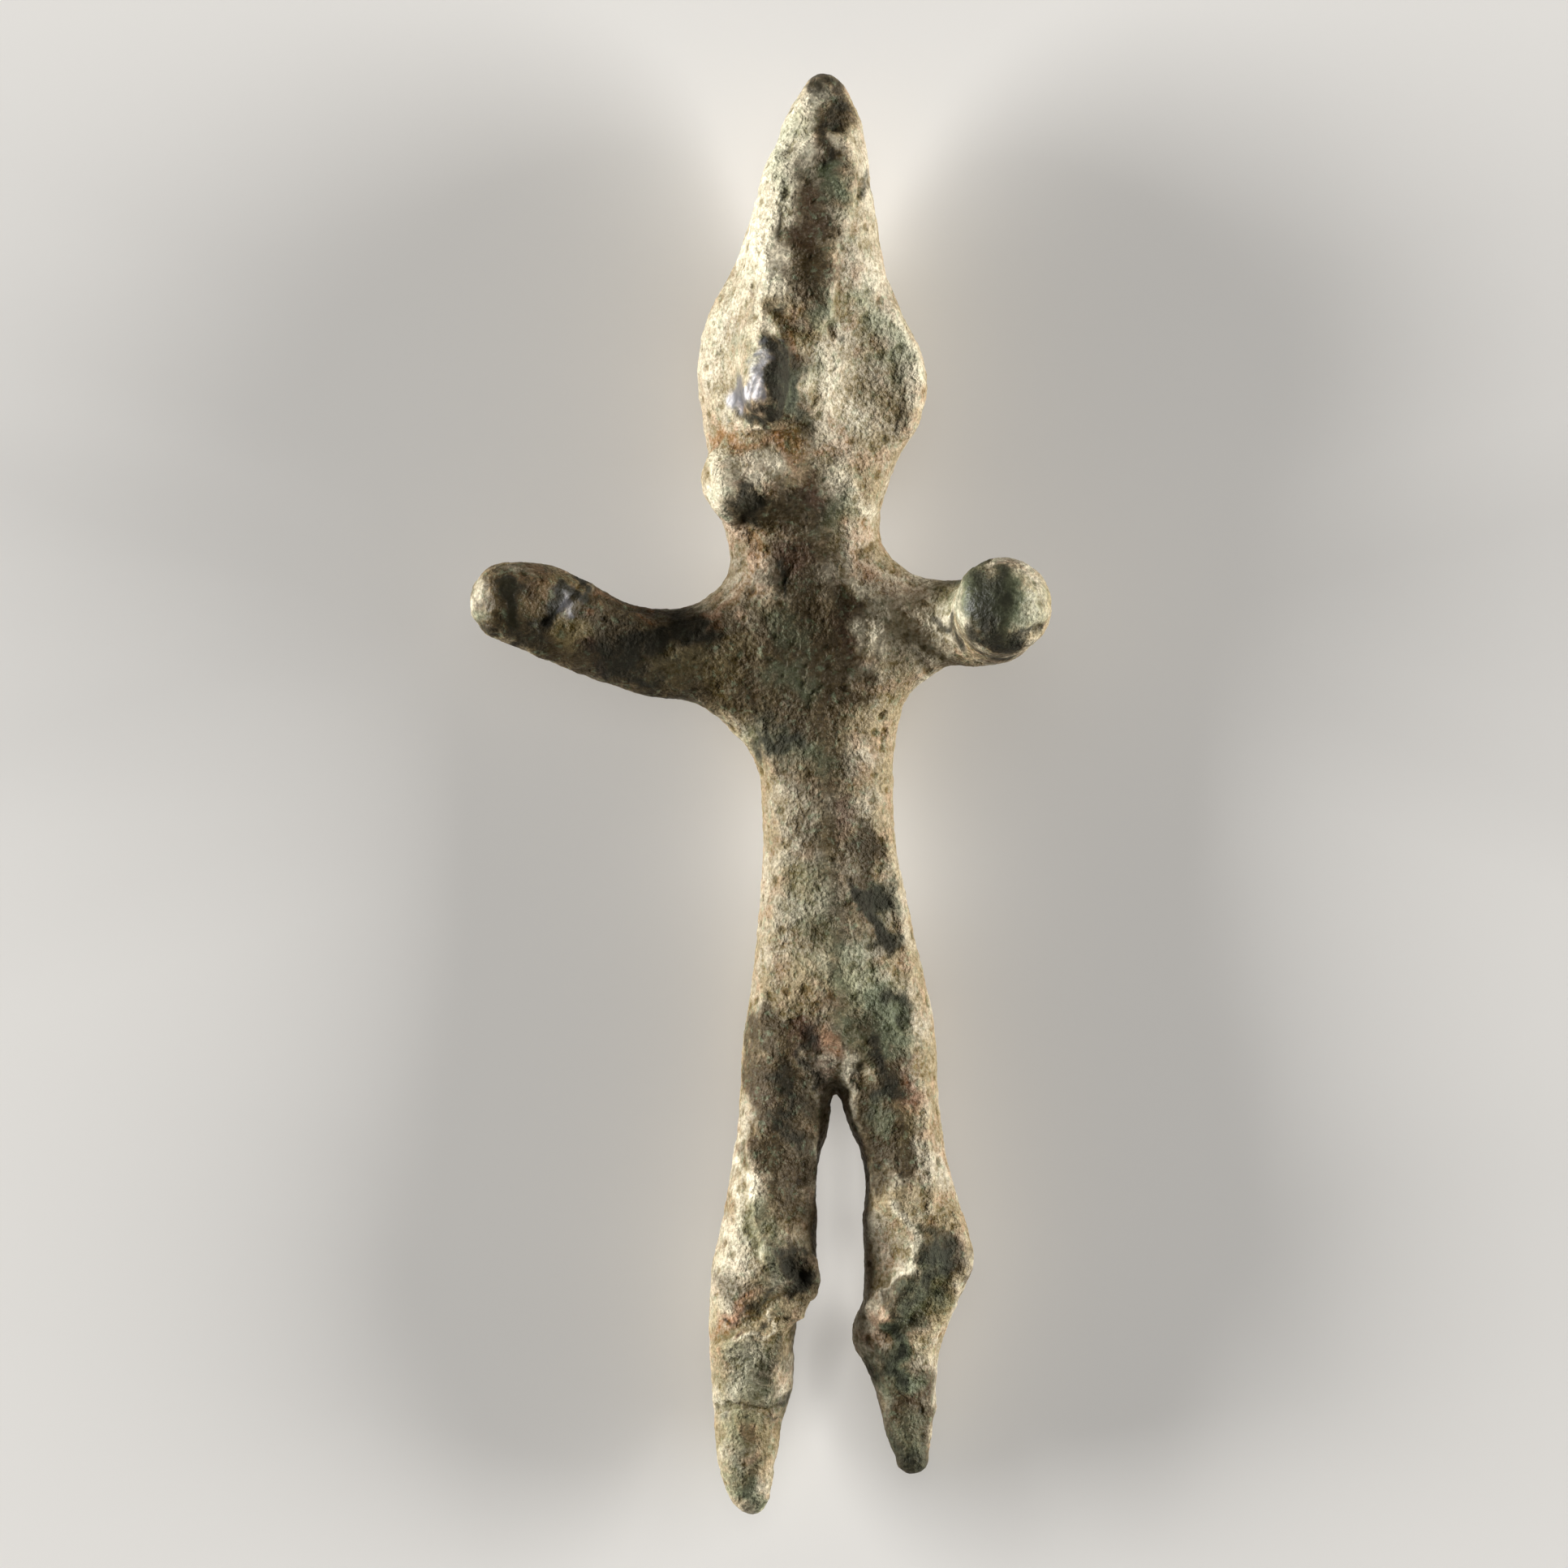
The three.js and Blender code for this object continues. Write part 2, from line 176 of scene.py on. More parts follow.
# Strokes on the front: the kind, the line in pixels, the width to each side in pixels, and the
# lift in millimetres. A ridge comes to an edge, a swell is round and a slab is flat with short
# sides. A step drops on the line's right, and a tilt leans a patch towards the line's right.
carving = {
    # hat
    "hatTipLump": ("swell", [(1004, 118), (992, 146)], 24, 0.26),
    "hatTipStripe": ("swell", [(1036, 118), (1030, 150), (1014, 205)], 18, -0.14),
    "hatFront": ("slab", [(1014, 200), (1004, 290), (990, 370)], 46, 0.45),
    "hatShoulder": ("tilt", [(960, 205), (978, 160), (994, 122)], 34, 0.08),
    "hatRidge": ("ridge", [(968, 205), (957, 270), (949, 340), (937, 411)], 22, 0.3),
    "hatNotch": ("swell", [(1062, 222), (1058, 238)], 9, -0.26),
    "hatLeftPlane": ("swell", [(915, 330), (896, 400), (886, 470)], 30, -0.22),
    "hatFlankRight": ("swell", [(1072, 300), (1080, 350)], 20, -0.16),
    # face
    "browLump": ("swell", [(1000, 402)], 22, 0.2),
    "browPits": ("swell", [(1020, 402), (1026, 416)], 9, -0.26),
    "noseBlock": ("slab", [(966, 446), (968, 500)], 36, 0.26),
    "noseCrest": ("ridge", [(944, 416), (946, 450), (948, 502)], 38, 0.65),
    "noseFacetLeft": ("ridge", [(932, 446), (920, 480), (912, 504)], 9, 0.12),
    "noseFacetGap": ("swell", [(930, 474), (925, 500)], 7, -0.12),
    "noseStripe": ("swell", [(968, 440), (962, 510)], 10, -0.14),
    "noseFoot": ("step", [(902, 514), (926, 526), (964, 524), (1000, 510)], 18, 0.24),
    "cheekHollow": ("swell", [(1060, 410), (1056, 470), (1040, 520)], 34, -0.14),
    "faceRim": ("ridge", [(1102, 380), (1124, 424), (1133, 476), (1118, 526)], 20, 0.3),
    "templeMark": ("swell", [(1096, 440), (1098, 470)], 14, -0.12),
    "mouth": ("swell", [(872, 536), (920, 545), (975, 552), (1020, 560)], 26, -0.36),
    "mouthLip": ("swell", [(890, 528), (912, 530)], 12, 0.14),
    "chinKnob": ("swell", [(884, 580), (892, 604)], 30, 0.3),
    "chinEdge": ("swell", [(930, 590), (912, 606), (900, 616)], 20, 0.2),
    "chinGash": ("swell", [(930, 622), (916, 640)], 18, -0.2),
    "jawHollow": ("swell", [(986, 604), (1004, 600)], 24, -0.16),
    "jawRight": ("swell", [(1046, 612), (1040, 640)], 26, 0.16),
    # neck and chest
    "neckWrinkle": ("ridge", [(896, 654), (918, 672), (930, 700)], 12, 0.14),
    "neckWrinkleIn": ("swell", [(920, 648), (944, 680)], 11, -0.14),
    "neckCrack": ("swell", [(982, 690), (972, 704), (966, 712), (957, 730)], 6, -0.12),
    "neckRight": ("ridge", [(1052, 660), (1046, 700), (1060, 730)], 20, 0.16),
    "collarLeft": ("ridge", [(944, 700), (952, 745), (946, 800)], 26, 0.22),
    "collarRight": ("ridge", [(1018, 700), (1024, 750), (1020, 800)], 20, 0.14),
    "breastRight": ("swell", [(1086, 776), (1076, 820)], 22, 0.16),
    "chestRing": ("swell", [(1001, 872), (999, 858), (1006, 848), (1018, 844), (1028, 852)], 5, -0.14),
    "chestPit": ("swell", [(1084, 884), (1088, 880)], 6, -0.4),
    "chestPitLow": ("swell", [(1091, 902), (1088, 914)], 6, -0.34),
    "ribLeft": ("ridge", [(905, 850), (935, 890), (952, 950)], 18, 0.2),
    # right arm, at the viewer's left
    "armEndCap": ("step", [(604, 792), (612, 748), (610, 706)], 18, 0.14),
    "armElbow": ("step", [(668, 806), (640, 792), (618, 776)], 14, 0.1),
    "armSocket": ("swell", [(626, 736), (630, 756)], 20, -0.12),
    "armTopPlane": ("swell", [(650, 716), (690, 722)], 18, 0.14),
    "armFacet": ("tilt", [(688, 764), (704, 746), (722, 734)], 18, 0.16),
    "armBand": ("swell", [(716, 722), (694, 742), (666, 768)], 8, -0.2),
    "armPatch": ("swell", [(710, 778)], 20, 0.14),
    "armUnderEdge": ("ridge", [(654, 800), (690, 818), (735, 842), (782, 856)], 14, 0.26),
    "armPlate": ("step", [(876, 773), (861, 790), (830, 812), (800, 826), (826, 846), (861, 852)], 14, 0.14),
    "armTopLine": ("swell", [(734, 730), (770, 746), (808, 753)], 8, -0.16),
    "shoulderPlane": ("swell", [(845, 800), (890, 800)], 30, 0.14),
    # left arm and its forearm, at the viewer's right
    "leftCrease": ("swell", [(1124, 804), (1134, 816), (1142, 830)], 8, -0.16),
    "leftArmRidge": ("ridge", [(1108, 738), (1140, 760), (1164, 786)], 22, 0.1),
    "ballLeftPlane": ("tilt", [(1196, 768), (1200, 712)], 24, 0.12),
    "ballDent": ("swell", [(1222, 715), (1222, 770)], 20, -0.07),
    "ballRing": ("swell", [(1176, 772), (1190, 788), (1216, 796), (1250, 792), (1276, 776)], 12, -0.16),
    "ballLip": ("ridge", [(1160, 800), (1200, 818), (1250, 812), (1286, 788)], 14, 0.1),
    # trunk
    "sidePit": ("swell", [(1092, 962)], 6, -0.3),
    "flankHollow": ("swell", [(1060, 1020), (1068, 1070), (1078, 1110), (1084, 1146)], 34, -0.2),
    "flankEdge": ("ridge", [(1094, 1040), (1104, 1090), (1114, 1150), (1124, 1200)], 16, 0.16),
    "trunkRound": ("swell", [(1016, 900), (1024, 1020), (1030, 1180)], 80, 0.42),
    "waistLeft": ("ridge", [(966, 980), (962, 1080), (952, 1180)], 22, 0.16),
    "bellyLean": ("tilt", [(1044, 1118), (1022, 1146)], 26, 0.1),
    # hips and groin
    "hipLeft": ("ridge", [(946, 1206), (938, 1262), (934, 1300)], 20, 0.18),
    "hipRound": ("swell", [(1030, 1180), (1040, 1240)], 80, 0.35),
    "hipLean": ("tilt", [(1018, 1196), (1046, 1220)], 26, 0.1),
    "hipRight": ("swell", [(1104, 1236), (1108, 1262)], 12, -0.2),
    "groinFoldA": ("ridge", [(982, 1270), (979, 1300), (986, 1330)], 10, 0.12),
    "loinLump": ("swell", [(1016, 1300), (1018, 1316)], 16, 0.12),
    "loinUnder": ("swell", [(1006, 1338), (1026, 1342)], 10, -0.1),
    "innerThigh": ("ridge", [(1052, 1290), (1046, 1330), (1060, 1380)], 18, 0.16),
    # right leg, at the viewer's left
    "thighHollow": ("swell", [(966, 1300), (972, 1400)], 16, -0.1),
    "thighRound": ("swell", [(966, 1290), (958, 1470)], 44, 0.4),
    "thighRidge": ("step", [(931, 1408), (927, 1440), (926, 1490), (947, 1546)], 36, 0.5),
    "thighFlat": ("swell", [(972, 1440), (976, 1500)], 26, -0.2),
    "thighMark": ("swell", [(922, 1442), (936, 1444)], 7, -0.22),
    "thighInner": ("ridge", [(996, 1360), (1000, 1440), (1002, 1500)], 14, 0.16),
    "kneeKnob": ("swell", [(946, 1544)], 18, 0.3),
    "kneeSocket": ("swell", [(972, 1560), (990, 1572)], 22, -0.42),
    "kneeLump": ("swell", [(1004, 1556), (1002, 1574)], 13, 0.3),
    "kneeStep": ("step", [(1012, 1586), (990, 1606), (968, 1618)], 24, 0.55),
    "shinBowl": ("swell", [(900, 1580), (922, 1604)], 32, -0.42),
    "shinFold": ("step", [(968, 1606), (936, 1634), (912, 1650), (882, 1662)], 30, 0.7),
    "shinCrack": ("swell", [(904, 1646), (926, 1630), (940, 1618)], 10, -0.12),
    "bootBand": ("swell", [(880, 1684), (896, 1690)], 14, 0.18),
    "bootRound": ("swell", [(926, 1640), (924, 1715)], 48, 0.35),
    "bootFront": ("ridge", [(960, 1640), (952, 1690), (944, 1722)], 20, 0.2),
    "bootLip": ("step", [(884, 1742), (914, 1732), (946, 1742), (972, 1728)], 16, -0.32),
    "bootNotch": ("swell", [(970, 1722), (974, 1728)], 9, -0.34),
    "pegRound": ("swell", [(918, 1760), (914, 1830)], 40, 0.3),
    "pegDent": ("swell", [(922, 1778), (912, 1818)], 18, -0.16),
    # left leg, at the viewer's right
    "leftThighEdge": ("ridge", [(1132, 1330), (1140, 1400), (1152, 1460), (1146, 1490)], 18, 0.26),
    "leftThighRound": ("swell", [(1098, 1290), (1106, 1380), (1116, 1470)], 48, 0.45),
    "leftThighInner": ("ridge", [(1070, 1400), (1078, 1450), (1084, 1500)], 16, 0.2),
    "leftKneeTop": ("ridge", [(1108, 1484), (1140, 1540), (1124, 1582), (1100, 1612)], 34, 0.85),
    "leftKneeCup": ("swell", [(1166, 1536), (1170, 1560), (1152, 1584)], 26, -0.4),
    "leftKneeRim": ("ridge", [(1178, 1500), (1194, 1536), (1190, 1566)], 14, 0.24),
    "leftShinGroove": ("swell", [(1150, 1590), (1124, 1622), (1102, 1648)], 28, -0.34),
    "leftShinOut": ("ridge", [(1176, 1592), (1156, 1630), (1146, 1690)], 16, 0.2),
    "leftShinRound": ("swell", [(1120, 1640), (1112, 1700)], 40, 0.3),
    "leftCalfEdge": ("ridge", [(1080, 1594), (1062, 1622), (1062, 1652)], 14, 0.3),
    "leftBootLip": ("step", [(1146, 1700), (1124, 1710), (1096, 1706)], 12, 0.2),
    "leftBootNick": ("swell", [(1130, 1706), (1138, 1708)], 7, -0.3),
    "leftPegRidge": ("ridge", [(1112, 1716), (1114, 1760), (1122, 1800)], 18, 0.14),
    "leftPegDent": ("swell", [(1134, 1730), (1136, 1780)], 14, -0.14),
}

# Hidden sides, plainer: the same strokes on the back, in the pixels under which they lie.
backCarving = {
    "hatSeam": ("ridge", [(1018, 110), (1010, 240), (1000, 400), (1004, 520)], 30, 0.26),
    "hatPlaneRight": ("swell", [(940, 300), (930, 400), (936, 500)], 36, -0.2),
    "hatPlaneLeft": ("swell", [(1070, 300), (1076, 400), (1066, 500)], 36, -0.2),
    "napeFold": ("swell", [(930, 640), (1000, 652), (1060, 640)], 20, -0.22),
    "spine": ("swell", [(1000, 690), (1012, 900), (1020, 1180)], 26, -0.26),
    "shoulderRight": ("swell", [(930, 780), (962, 840)], 34, 0.16),
    "shoulderLeft": ("swell", [(1084, 770), (1064, 840)], 34, 0.16),
    "seatCleft": ("swell", [(1022, 1225), (1028, 1330)], 14, -0.3),
    "elbowRight": ("ridge", [(650, 760), (720, 790), (800, 810)], 26, 0.18),
    "thighRidgeRight": ("ridge", [(950, 1340), (960, 1440), (946, 1530)], 26, 0.2),
    "thighRidgeLeft": ("ridge", [(1106, 1340), (1116, 1440), (1136, 1530)], 26, 0.2),
    "kneeHollowRight": ("swell", [(940, 1550), (950, 1600)], 26, -0.26),
    "kneeHollowLeft": ("swell", [(1140, 1560), (1124, 1600)], 26, -0.26),
    "heelRight": ("step", [(972, 1716), (930, 1728), (886, 1722)], 16, 0.22),
    "heelLeft": ("step", [(1146, 1700), (1112, 1706), (1080, 1690)], 16, 0.22),
}

# The same on what faces sideways, at any height.
sideCarving = {
    "gapTop": ("swell", [(1029, 1350)], 9, -0.34),
    "gapLeft": ("swell", [(1013, 1366), (1008, 1392)], 22, 0.2),
    "gapLeftLow": ("swell", [(1010, 1380), (1004, 1424)], 34, 0.12),
    "gapRight": ("swell", [(1047, 1366), (1056, 1392)], 22, 0.18),
    "gapRightLow": ("swell", [(1052, 1380), (1066, 1424)], 34, 0.12),
    "hatTip": ("swell", [(1019, 96)], 32, 0.24),
    "pegTip": ("swell", [(926, 1862)], 36, 0.32),
    "leftPegTip": ("swell", [(1128, 1814)], 32, 0.4),
}


def makeWorkedBody():
    # the cast form, merged, rounded between its facets and cut to an even fine mesh
    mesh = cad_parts["figurine"].data.copy()
    shape = bmesh.new()
    shape.from_mesh(mesh)
    bmesh.ops.remove_doubles(shape, verts=shape.verts, dist=casting["mergeDistance"])
    shape.to_mesh(mesh)
    shape.free()
    mesh.materials.clear()
    mesh.transform(Matrix.Scale(1 / mm, 4))
    body = addObject("workedBody", mesh)
    rounding = body.modifiers.new("rounding", "SUBSURF")
    rounding.levels = rounding.render_levels = 1
    remesh = body.modifiers.new("remesh", "REMESH")
    remesh.mode = "VOXEL"
    remesh.voxel_size = casting["voxel"]
    remesh.use_smooth_shade = True
    smooth = body.modifiers.new("smooth", "SMOOTH")
    smooth.iterations = casting["smoothing"]
    return bakeModifiers(body, "figurineCasting")


def bakeModifiers(body, name):
    # the plain mesh that an object's modifiers make, in an object of its own
    depsgraph = bpy.context.evaluated_depsgraph_get()
    mesh = bpy.data.meshes.new_from_object(body.evaluated_get(depsgraph))
    bpy.data.objects.remove(body)
    return addObject(name, mesh)


def readPoints(mesh):
    points = np.zeros(len(mesh.vertices) * 3)
    normals = np.zeros(len(mesh.vertices) * 3, np.float32)
    mesh.vertices.foreach_get("co", points)
    mesh.vertices.foreach_get("normal", normals)
    return points.reshape(-1, 3), normals.reshape(-1, 3).astype(float)


def nearLine(columns, rows, line):
    # how far each point is from the line, and on which side of it: 1 is its left as it runs
    nearest = np.full(len(columns), np.inf)
    side = np.zeros(len(columns))
    for (column, row), (endColumn, endRow) in zip(line, line[1:] or line):
        run, fall = endColumn - column, endRow - row
        square = max(run * run + fall * fall, 1e-9)  # a line of one point has no length
        share = np.clip(((columns - column) * run + (rows - row) * fall) / square, 0, 1)
        across, down = columns - column - share * run, rows - row - share * fall
        distance = np.hypot(across, down)
        closer = distance < nearest
        side[closer] = np.sign(across * fall - down * run)[closer]
        nearest[closer] = distance[closer]
    return nearest, side


def soften(share):
    share = np.clip(share, 0, 1)
    return share * share * (3 - 2 * share)


# How strokes fall off from their line to their edge
profiles = {
    "ridgePower": 1.7,
    "stepPower": 1.5,
    "stepEdge": 0.35,  # the step's short side, as a share of its width
    "slabEdge": 0.4,
    "tiltLift": 1.75,
}


def strokeProfile(kind, distance, side, width):
    inside = np.clip(1 - distance / width, 0, 1)
    if kind == "ridge":
        return inside ** profiles["ridgePower"]
    if kind == "step":
        edge = soften(1 - distance / (profiles["stepEdge"] * width))
        return np.where(side > 0, inside ** profiles["stepPower"], edge)
    if kind == "slab":
        return soften(inside / profiles["slabEdge"])
    if kind == "tilt":
        across = side * distance / width
        return profiles["tiltLift"] * across * inside * (1 + inside)
    return soften(inside)


# Smooth random fields, each a sum of sine waves
strays = {
    "waves": 9,
    "pace": 2.2,  # radians that a wave turns over one stray's size
    "height": 2.1,  # of the sum, by which it is divided to be about one unit high
}


def stray(points, size, seed):
    random = np.random.default_rng(seed)
    field = np.zeros(len(points))
    for direction in random.normal(size=(strays["waves"], 3)):
        field += np.sin(points @ direction * (strays["pace"] / size) + random.uniform(0, 2 * math.pi))
    return field / strays["height"]


def carve(mesh):
    points, normals = readPoints(mesh)
    columns, rows = seenAt(points)
    across, down, pressure = (stray(points, casting["waverSize"], seed) for seed in casting["waverSeeds"])
    columns = columns + casting["waver"] * across
    rows = rows + casting["waver"] * down
    pressed = 1 + casting["press"] * pressure
    lifts = np.zeros(len(points))
    front = normals[:, 2]
    sideways = 1 - np.abs(front)
    for strokes, facing in ((carving, front), (backCarving, -front), (sideCarving, sideways)):
        square = np.clip(facing / casting["faceOn"], 0, 1)
        for kind, line, width, lift in strokes.values():
            distance, side = nearLine(columns, rows, line)
            lifts += lift * square * pressed * strokeProfile(kind, distance, side, width)
    points += normals * lifts[:, None]
    mesh.vertices.foreach_set("co", points.ravel())
    mesh.update()


# Stains on the front, with painted light and shade among them: the line in pixels, the radius in pixels
# and the strength. Worn is where the metal is rubbed smooth, and bare is where it shows.
stains = {
    "black": {
        "hatCap": ([(1002, 98), (1034, 104)], 20, 0.8),
        "hatStripe": ([(1030, 120), (1026, 160), (1012, 205)], 9, 0.7),
        "hatNick": ([(1062, 222), (1058, 236)], 7, 0.7),
        "hatSpeckLeft": ([(972, 394), (978, 404)], 6, 0.8),
        "hatSpeckRight": ([(1026, 413)], 9, 0.7),
        "noseTop": ([(946, 426), (962, 438)], 13, 0.8),
        "noseFacets": ([(930, 450), (918, 500)], 17, 0.75),
        "noseStripe": ([(960, 440), (960, 480), (950, 514)], 16, 1.2),
        "noseOval": ([(984, 458), (983, 498)], 16, 0.7),
        "noseFoot": ([(912, 514), (945, 522)], 8, 0.9),
        "chinGash": ([(932, 604), (918, 624), (912, 640)], 15, 1.0),
        "jaw": ([(960, 612), (1000, 626)], 22, 0.4),
        "neckCrack": ([(981, 691), (965, 712), (958, 728)], 3.5, 0.9),
        "handSpot": ([(624, 732), (630, 756)], 18, 1.1),
        "handUnder": ([(622, 775), (650, 785)], 18, 0.7),
        "armBand": ([(713, 722), (695, 745), (668, 768)], 12, 1.2),
        "armBlotch": ([(755, 806), (800, 792), (812, 785)], 20, 1.0),
        "armBlotchHigh": ([(830, 786), (864, 776)], 18, 0.9),
        "armUnder": ([(740, 815), (800, 842)], 18, 0.9),
        "ballStripe": ([(1226, 706), (1222, 745)], 12, 0.8),
        "ballStripeLow": ([(1220, 752), (1222, 786)], 20, 0.9),
        # painted shadow under the ball, where it overhangs the pad
        "ballCrescent": ([(1178, 778), (1208, 792), (1246, 788), (1268, 780)], 11, 0.9),
        "chestPatch": ([(954, 918), (988, 904)], 18, 0.9),
        "chestLeft": ([(934, 880), (965, 900)], 24, 0.6),
        "flankTop": ([(1062, 1024), (1068, 1060)], 8, 0.4),
        "flank": ([(1076, 1100), (1084, 1146)], 23, 1.25),
        "hipSpot": ([(1105, 1236), (1112, 1246)], 14, 0.7),
        # painted shadow in the groin crease, partly dark crust
        "groinCrease": ([(996, 1266), (997, 1305), (1006, 1334)], 7, 0.8),
        "thighInner": ([(964, 1320), (974, 1405)], 20, 0.75),
        "kneeSocket": ([(968, 1554), (994, 1576)], 18, 1.0),
        "leftThigh": ([(1084, 1290), (1094, 1355)], 17, 0.9),
        "leftKnee": ([(1156, 1540), (1172, 1554), (1154, 1574)], 20, 1.05),
        "leftShin": ([(1144, 1582), (1122, 1602), (1104, 1622)], 12, 0.6),
        "leftPegTip": ([(1122, 1795), (1128, 1812)], 22, 0.7),
        "bootNotch": ([(972, 1724)], 10, 1.0),
        "bootLip": ([(890, 1738), (925, 1738), (955, 1744)], 3, 0.6),
        "pegSide": ([(944, 1785), (932, 1850)], 9, 0.4),
        "ball": ([(1214, 724), (1228, 776)], 26, 0.95),
        "leftCalf": ([(1098, 1640), (1108, 1690)], 14, 0.85),
        "upperArm": ([(750, 800), (850, 818)], 36, 0.5),
        # painted shadow in the hollow above the shin fold
        "shinFold": ([(952, 1600), (930, 1620), (904, 1640)], 4, 0.8),
    },
    "umberAndPaintedShade": {
        # umber crust, partly painted shade that darkens the front-facing surfaces, which the side lamps
        # light least
        "hatBand": ([(1012, 225), (1002, 290), (994, 350)], 36, 1.0),
        "hatTop": ([(1032, 126), (1020, 170), (1010, 210)], 18, 1.2),
        "temple": ([(1080, 425), (1078, 490)], 36, 0.3),
        "jaw": ([(945, 634), (1000, 636), (1010, 614)], 34, 0.9),
        "throat": ([(985, 680), (998, 730), (1008, 800)], 42, 1.1),
        "chest": ([(960, 780), (985, 860), (1000, 920)], 56, 1.0),
        "breast": ([(1024, 770), (1030, 850)], 34, 1.4),
        "shoulder": ([(820, 815), (900, 835)], 46, 1.5),
        "upperArm": ([(735, 785), (800, 805), (860, 806)], 58, 2.2),
        "hand": ([(640, 745), (710, 768)], 52, 1.8),
        "belly": ([(1010, 960), (1030, 1060), (1036, 1160)], 46, 0.7),
        "hips": ([(960, 1262), (1076, 1262)], 40, 0.55),
        "thigh": ([(952, 1275), (960, 1340), (968, 1400), (972, 1450)], 34, 1.8),
        "leftThigh": ([(1088, 1255), (1090, 1330), (1098, 1415)], 30, 1.7),
        "leftShin": ([(1112, 1612), (1098, 1645), (1110, 1700)], 22, 1.4),
        "leftPeg": ([(1115, 1715), (1125, 1810)], 38, 1.3),
        "boot": ([(950, 1656), (955, 1718)], 19, 0.8),
        "peg": ([(935, 1760), (930, 1840)], 24, 0.8),
        "thighTop": ([(945, 1262), (995, 1280)], 28, 0.9),
        "leftKnee": ([(1152, 1538), (1174, 1556), (1150, 1582), (1112, 1612)], 24, 1.8),
        "knee": ([(968, 1556), (992, 1570)], 30, 1.2),
        "ball": ([(1210, 722), (1230, 780)], 32, 1.9),
        "flank": ([(1062, 1040), (1078, 1145)], 20, 1.2),
        "nose": ([(964, 435), (966, 510)], 24, 1.4),
        "leftThighPad": ([(1088, 1430), (1086, 1450)], 22, 0.8),
        "thighLow": ([(968, 1450), (972, 1490)], 34, 0.7),
        "shinBowl": ([(888, 1578), (914, 1596)], 22, 0.6),
    },
    "green": {
        "hatLeft": ([(972, 165), (960, 200)], 22, 0.8),
        "hatMiddle": ([(1010, 218), (1028, 232)], 18, 0.9),
        "hatFlank": ([(1052, 240), (1046, 290)], 12, 0.5),
        "templeHigh": ([(1066, 372), (1092, 400), (1104, 440)], 26, 0.9),
        "browMiddle": ([(1010, 370), (1020, 390)], 16, 0.7),
        "cheek": ([(1006, 444), (1002, 470)], 16, 0.6),
        "ridgeFoot": ([(925, 425), (915, 450)], 10, 0.6),
        "chinSide": ([(876, 636), (884, 646)], 9, 1.0),
        "jawRight": ([(1030, 620), (1020, 644)], 20, 0.6),
        "chestHigh": ([(952, 762), (985, 790)], 18, 0.5),
        "chestMiddle": ([(962, 830), (990, 838)], 22, 0.6),
        "chestLow": ([(930, 900), (1000, 930)], 26, 0.6),
        "ball": ([(1190, 730), (1262, 745)], 40, 0.8),
        "ballTop": ([(1205, 705), (1240, 700)], 14, 0.4),
        "flankSide": ([(1086, 1085), (1098, 1140)], 14, 0.6),
        "bellyLow": ([(1050, 1190), (1062, 1240)], 24, 0.9),
        "hip": ([(1100, 1240), (1110, 1290)], 18, 0.7),
        "hipInner": ([(1046, 1250), (1056, 1290)], 18, 0.5),
        "thighLeft": ([(1090, 1360), (1086, 1380)], 12, 0.6),
        "kneeRing": ([(930, 1520), (950, 1580), (930, 1612)], 14, 0.6),
        "bootTop": ([(916, 1672), (924, 1712)], 38, 0.65),
        "peg": ([(906, 1760), (904, 1820)], 28, 0.7),
        "pegTip": ([(918, 1838), (934, 1852)], 16, 1.0),
        "leftKneeTop": ([(1132, 1520), (1120, 1560)], 12, 0.4),
        "leftCalf": ([(1092, 1640), (1106, 1660), (1114, 1695)], 18, 1.0),
        "leftBootSide": ([(1075, 1680), (1085, 1712)], 14, 0.7),
        "noseOval": ([(982, 460), (981, 496)], 14, 1.0),
        "kneeKnob": ([(938, 1500), (942, 1530)], 18, 0.7),
        "leftKnee": ([(1160, 1545), (1150, 1580), (1112, 1620)], 20, 0.7),
        "hips": ([(1050, 1190), (1090, 1250)], 36, 0.8),
        "torso": ([(990, 1080), (1010, 1180)], 36, 0.5),
        "hatTop": ([(975, 160), (955, 230)], 24, 0.7),
        "leftPegTip": ([(1120, 1760), (1126, 1810)], 24, 0.5),
        "hatTip": ([(1006, 122), (998, 150)], 14, 0.5),
        "handEnd": ([(588, 760), (592, 780)], 14, 0.6),
        "temple": ([(1100, 400), (1108, 440)], 20, 0.7),
        "chinTop": ([(880, 606), (896, 612)], 12, 0.6),
    },
    "earth": {
        "mouth": ([(882, 540), (925, 546), (965, 552)], 15, 0.8),
        "mouthRight": ([(980, 556), (1030, 556)], 16, 0.5),
        "brow": ([(990, 388), (975, 420)], 12, 0.35),
        "neckLeft": ([(912, 664), (932, 700)], 18, 0.7),
        "groin": ([(1022, 1272), (1024, 1304)], 15, 0.8),
        "shinCrack": ([(890, 1648), (910, 1628), (924, 1606)], 15, 1.0),
        "pegStreak": ([(922, 1778), (918, 1800)], 12, 0.7),
        "hand": ([(648, 712), (672, 728)], 18, 0.35),
        "armTop": ([(738, 734), (772, 746), (806, 753)], 5, 0.5),
        "leftCalf": ([(1078, 1612), (1068, 1648)], 12, 0.7),
        "leftThighOut": ([(1122, 1340), (1124, 1370)], 14, 0.5),
        "neckRight": ([(1056, 650), (1070, 704)], 18, 0.6),
        "leftArm": ([(1104, 748), (1136, 762)], 26, 0.35),
        "shoulderTop": ([(868, 756), (912, 738), (934, 704)], 16, 0.55),
        "shoulderTopLeft": ([(1064, 690), (1082, 722), (1128, 738)], 16, 0.5),
    },
    "red": {
        "hatMiddle": ([(1004, 245), (1000, 300)], 18, 0.4),
        "breast": ([(1036, 768), (1058, 800)], 22, 0.5),
        "jaw": ([(1000, 604), (1010, 618)], 18, 0.8),
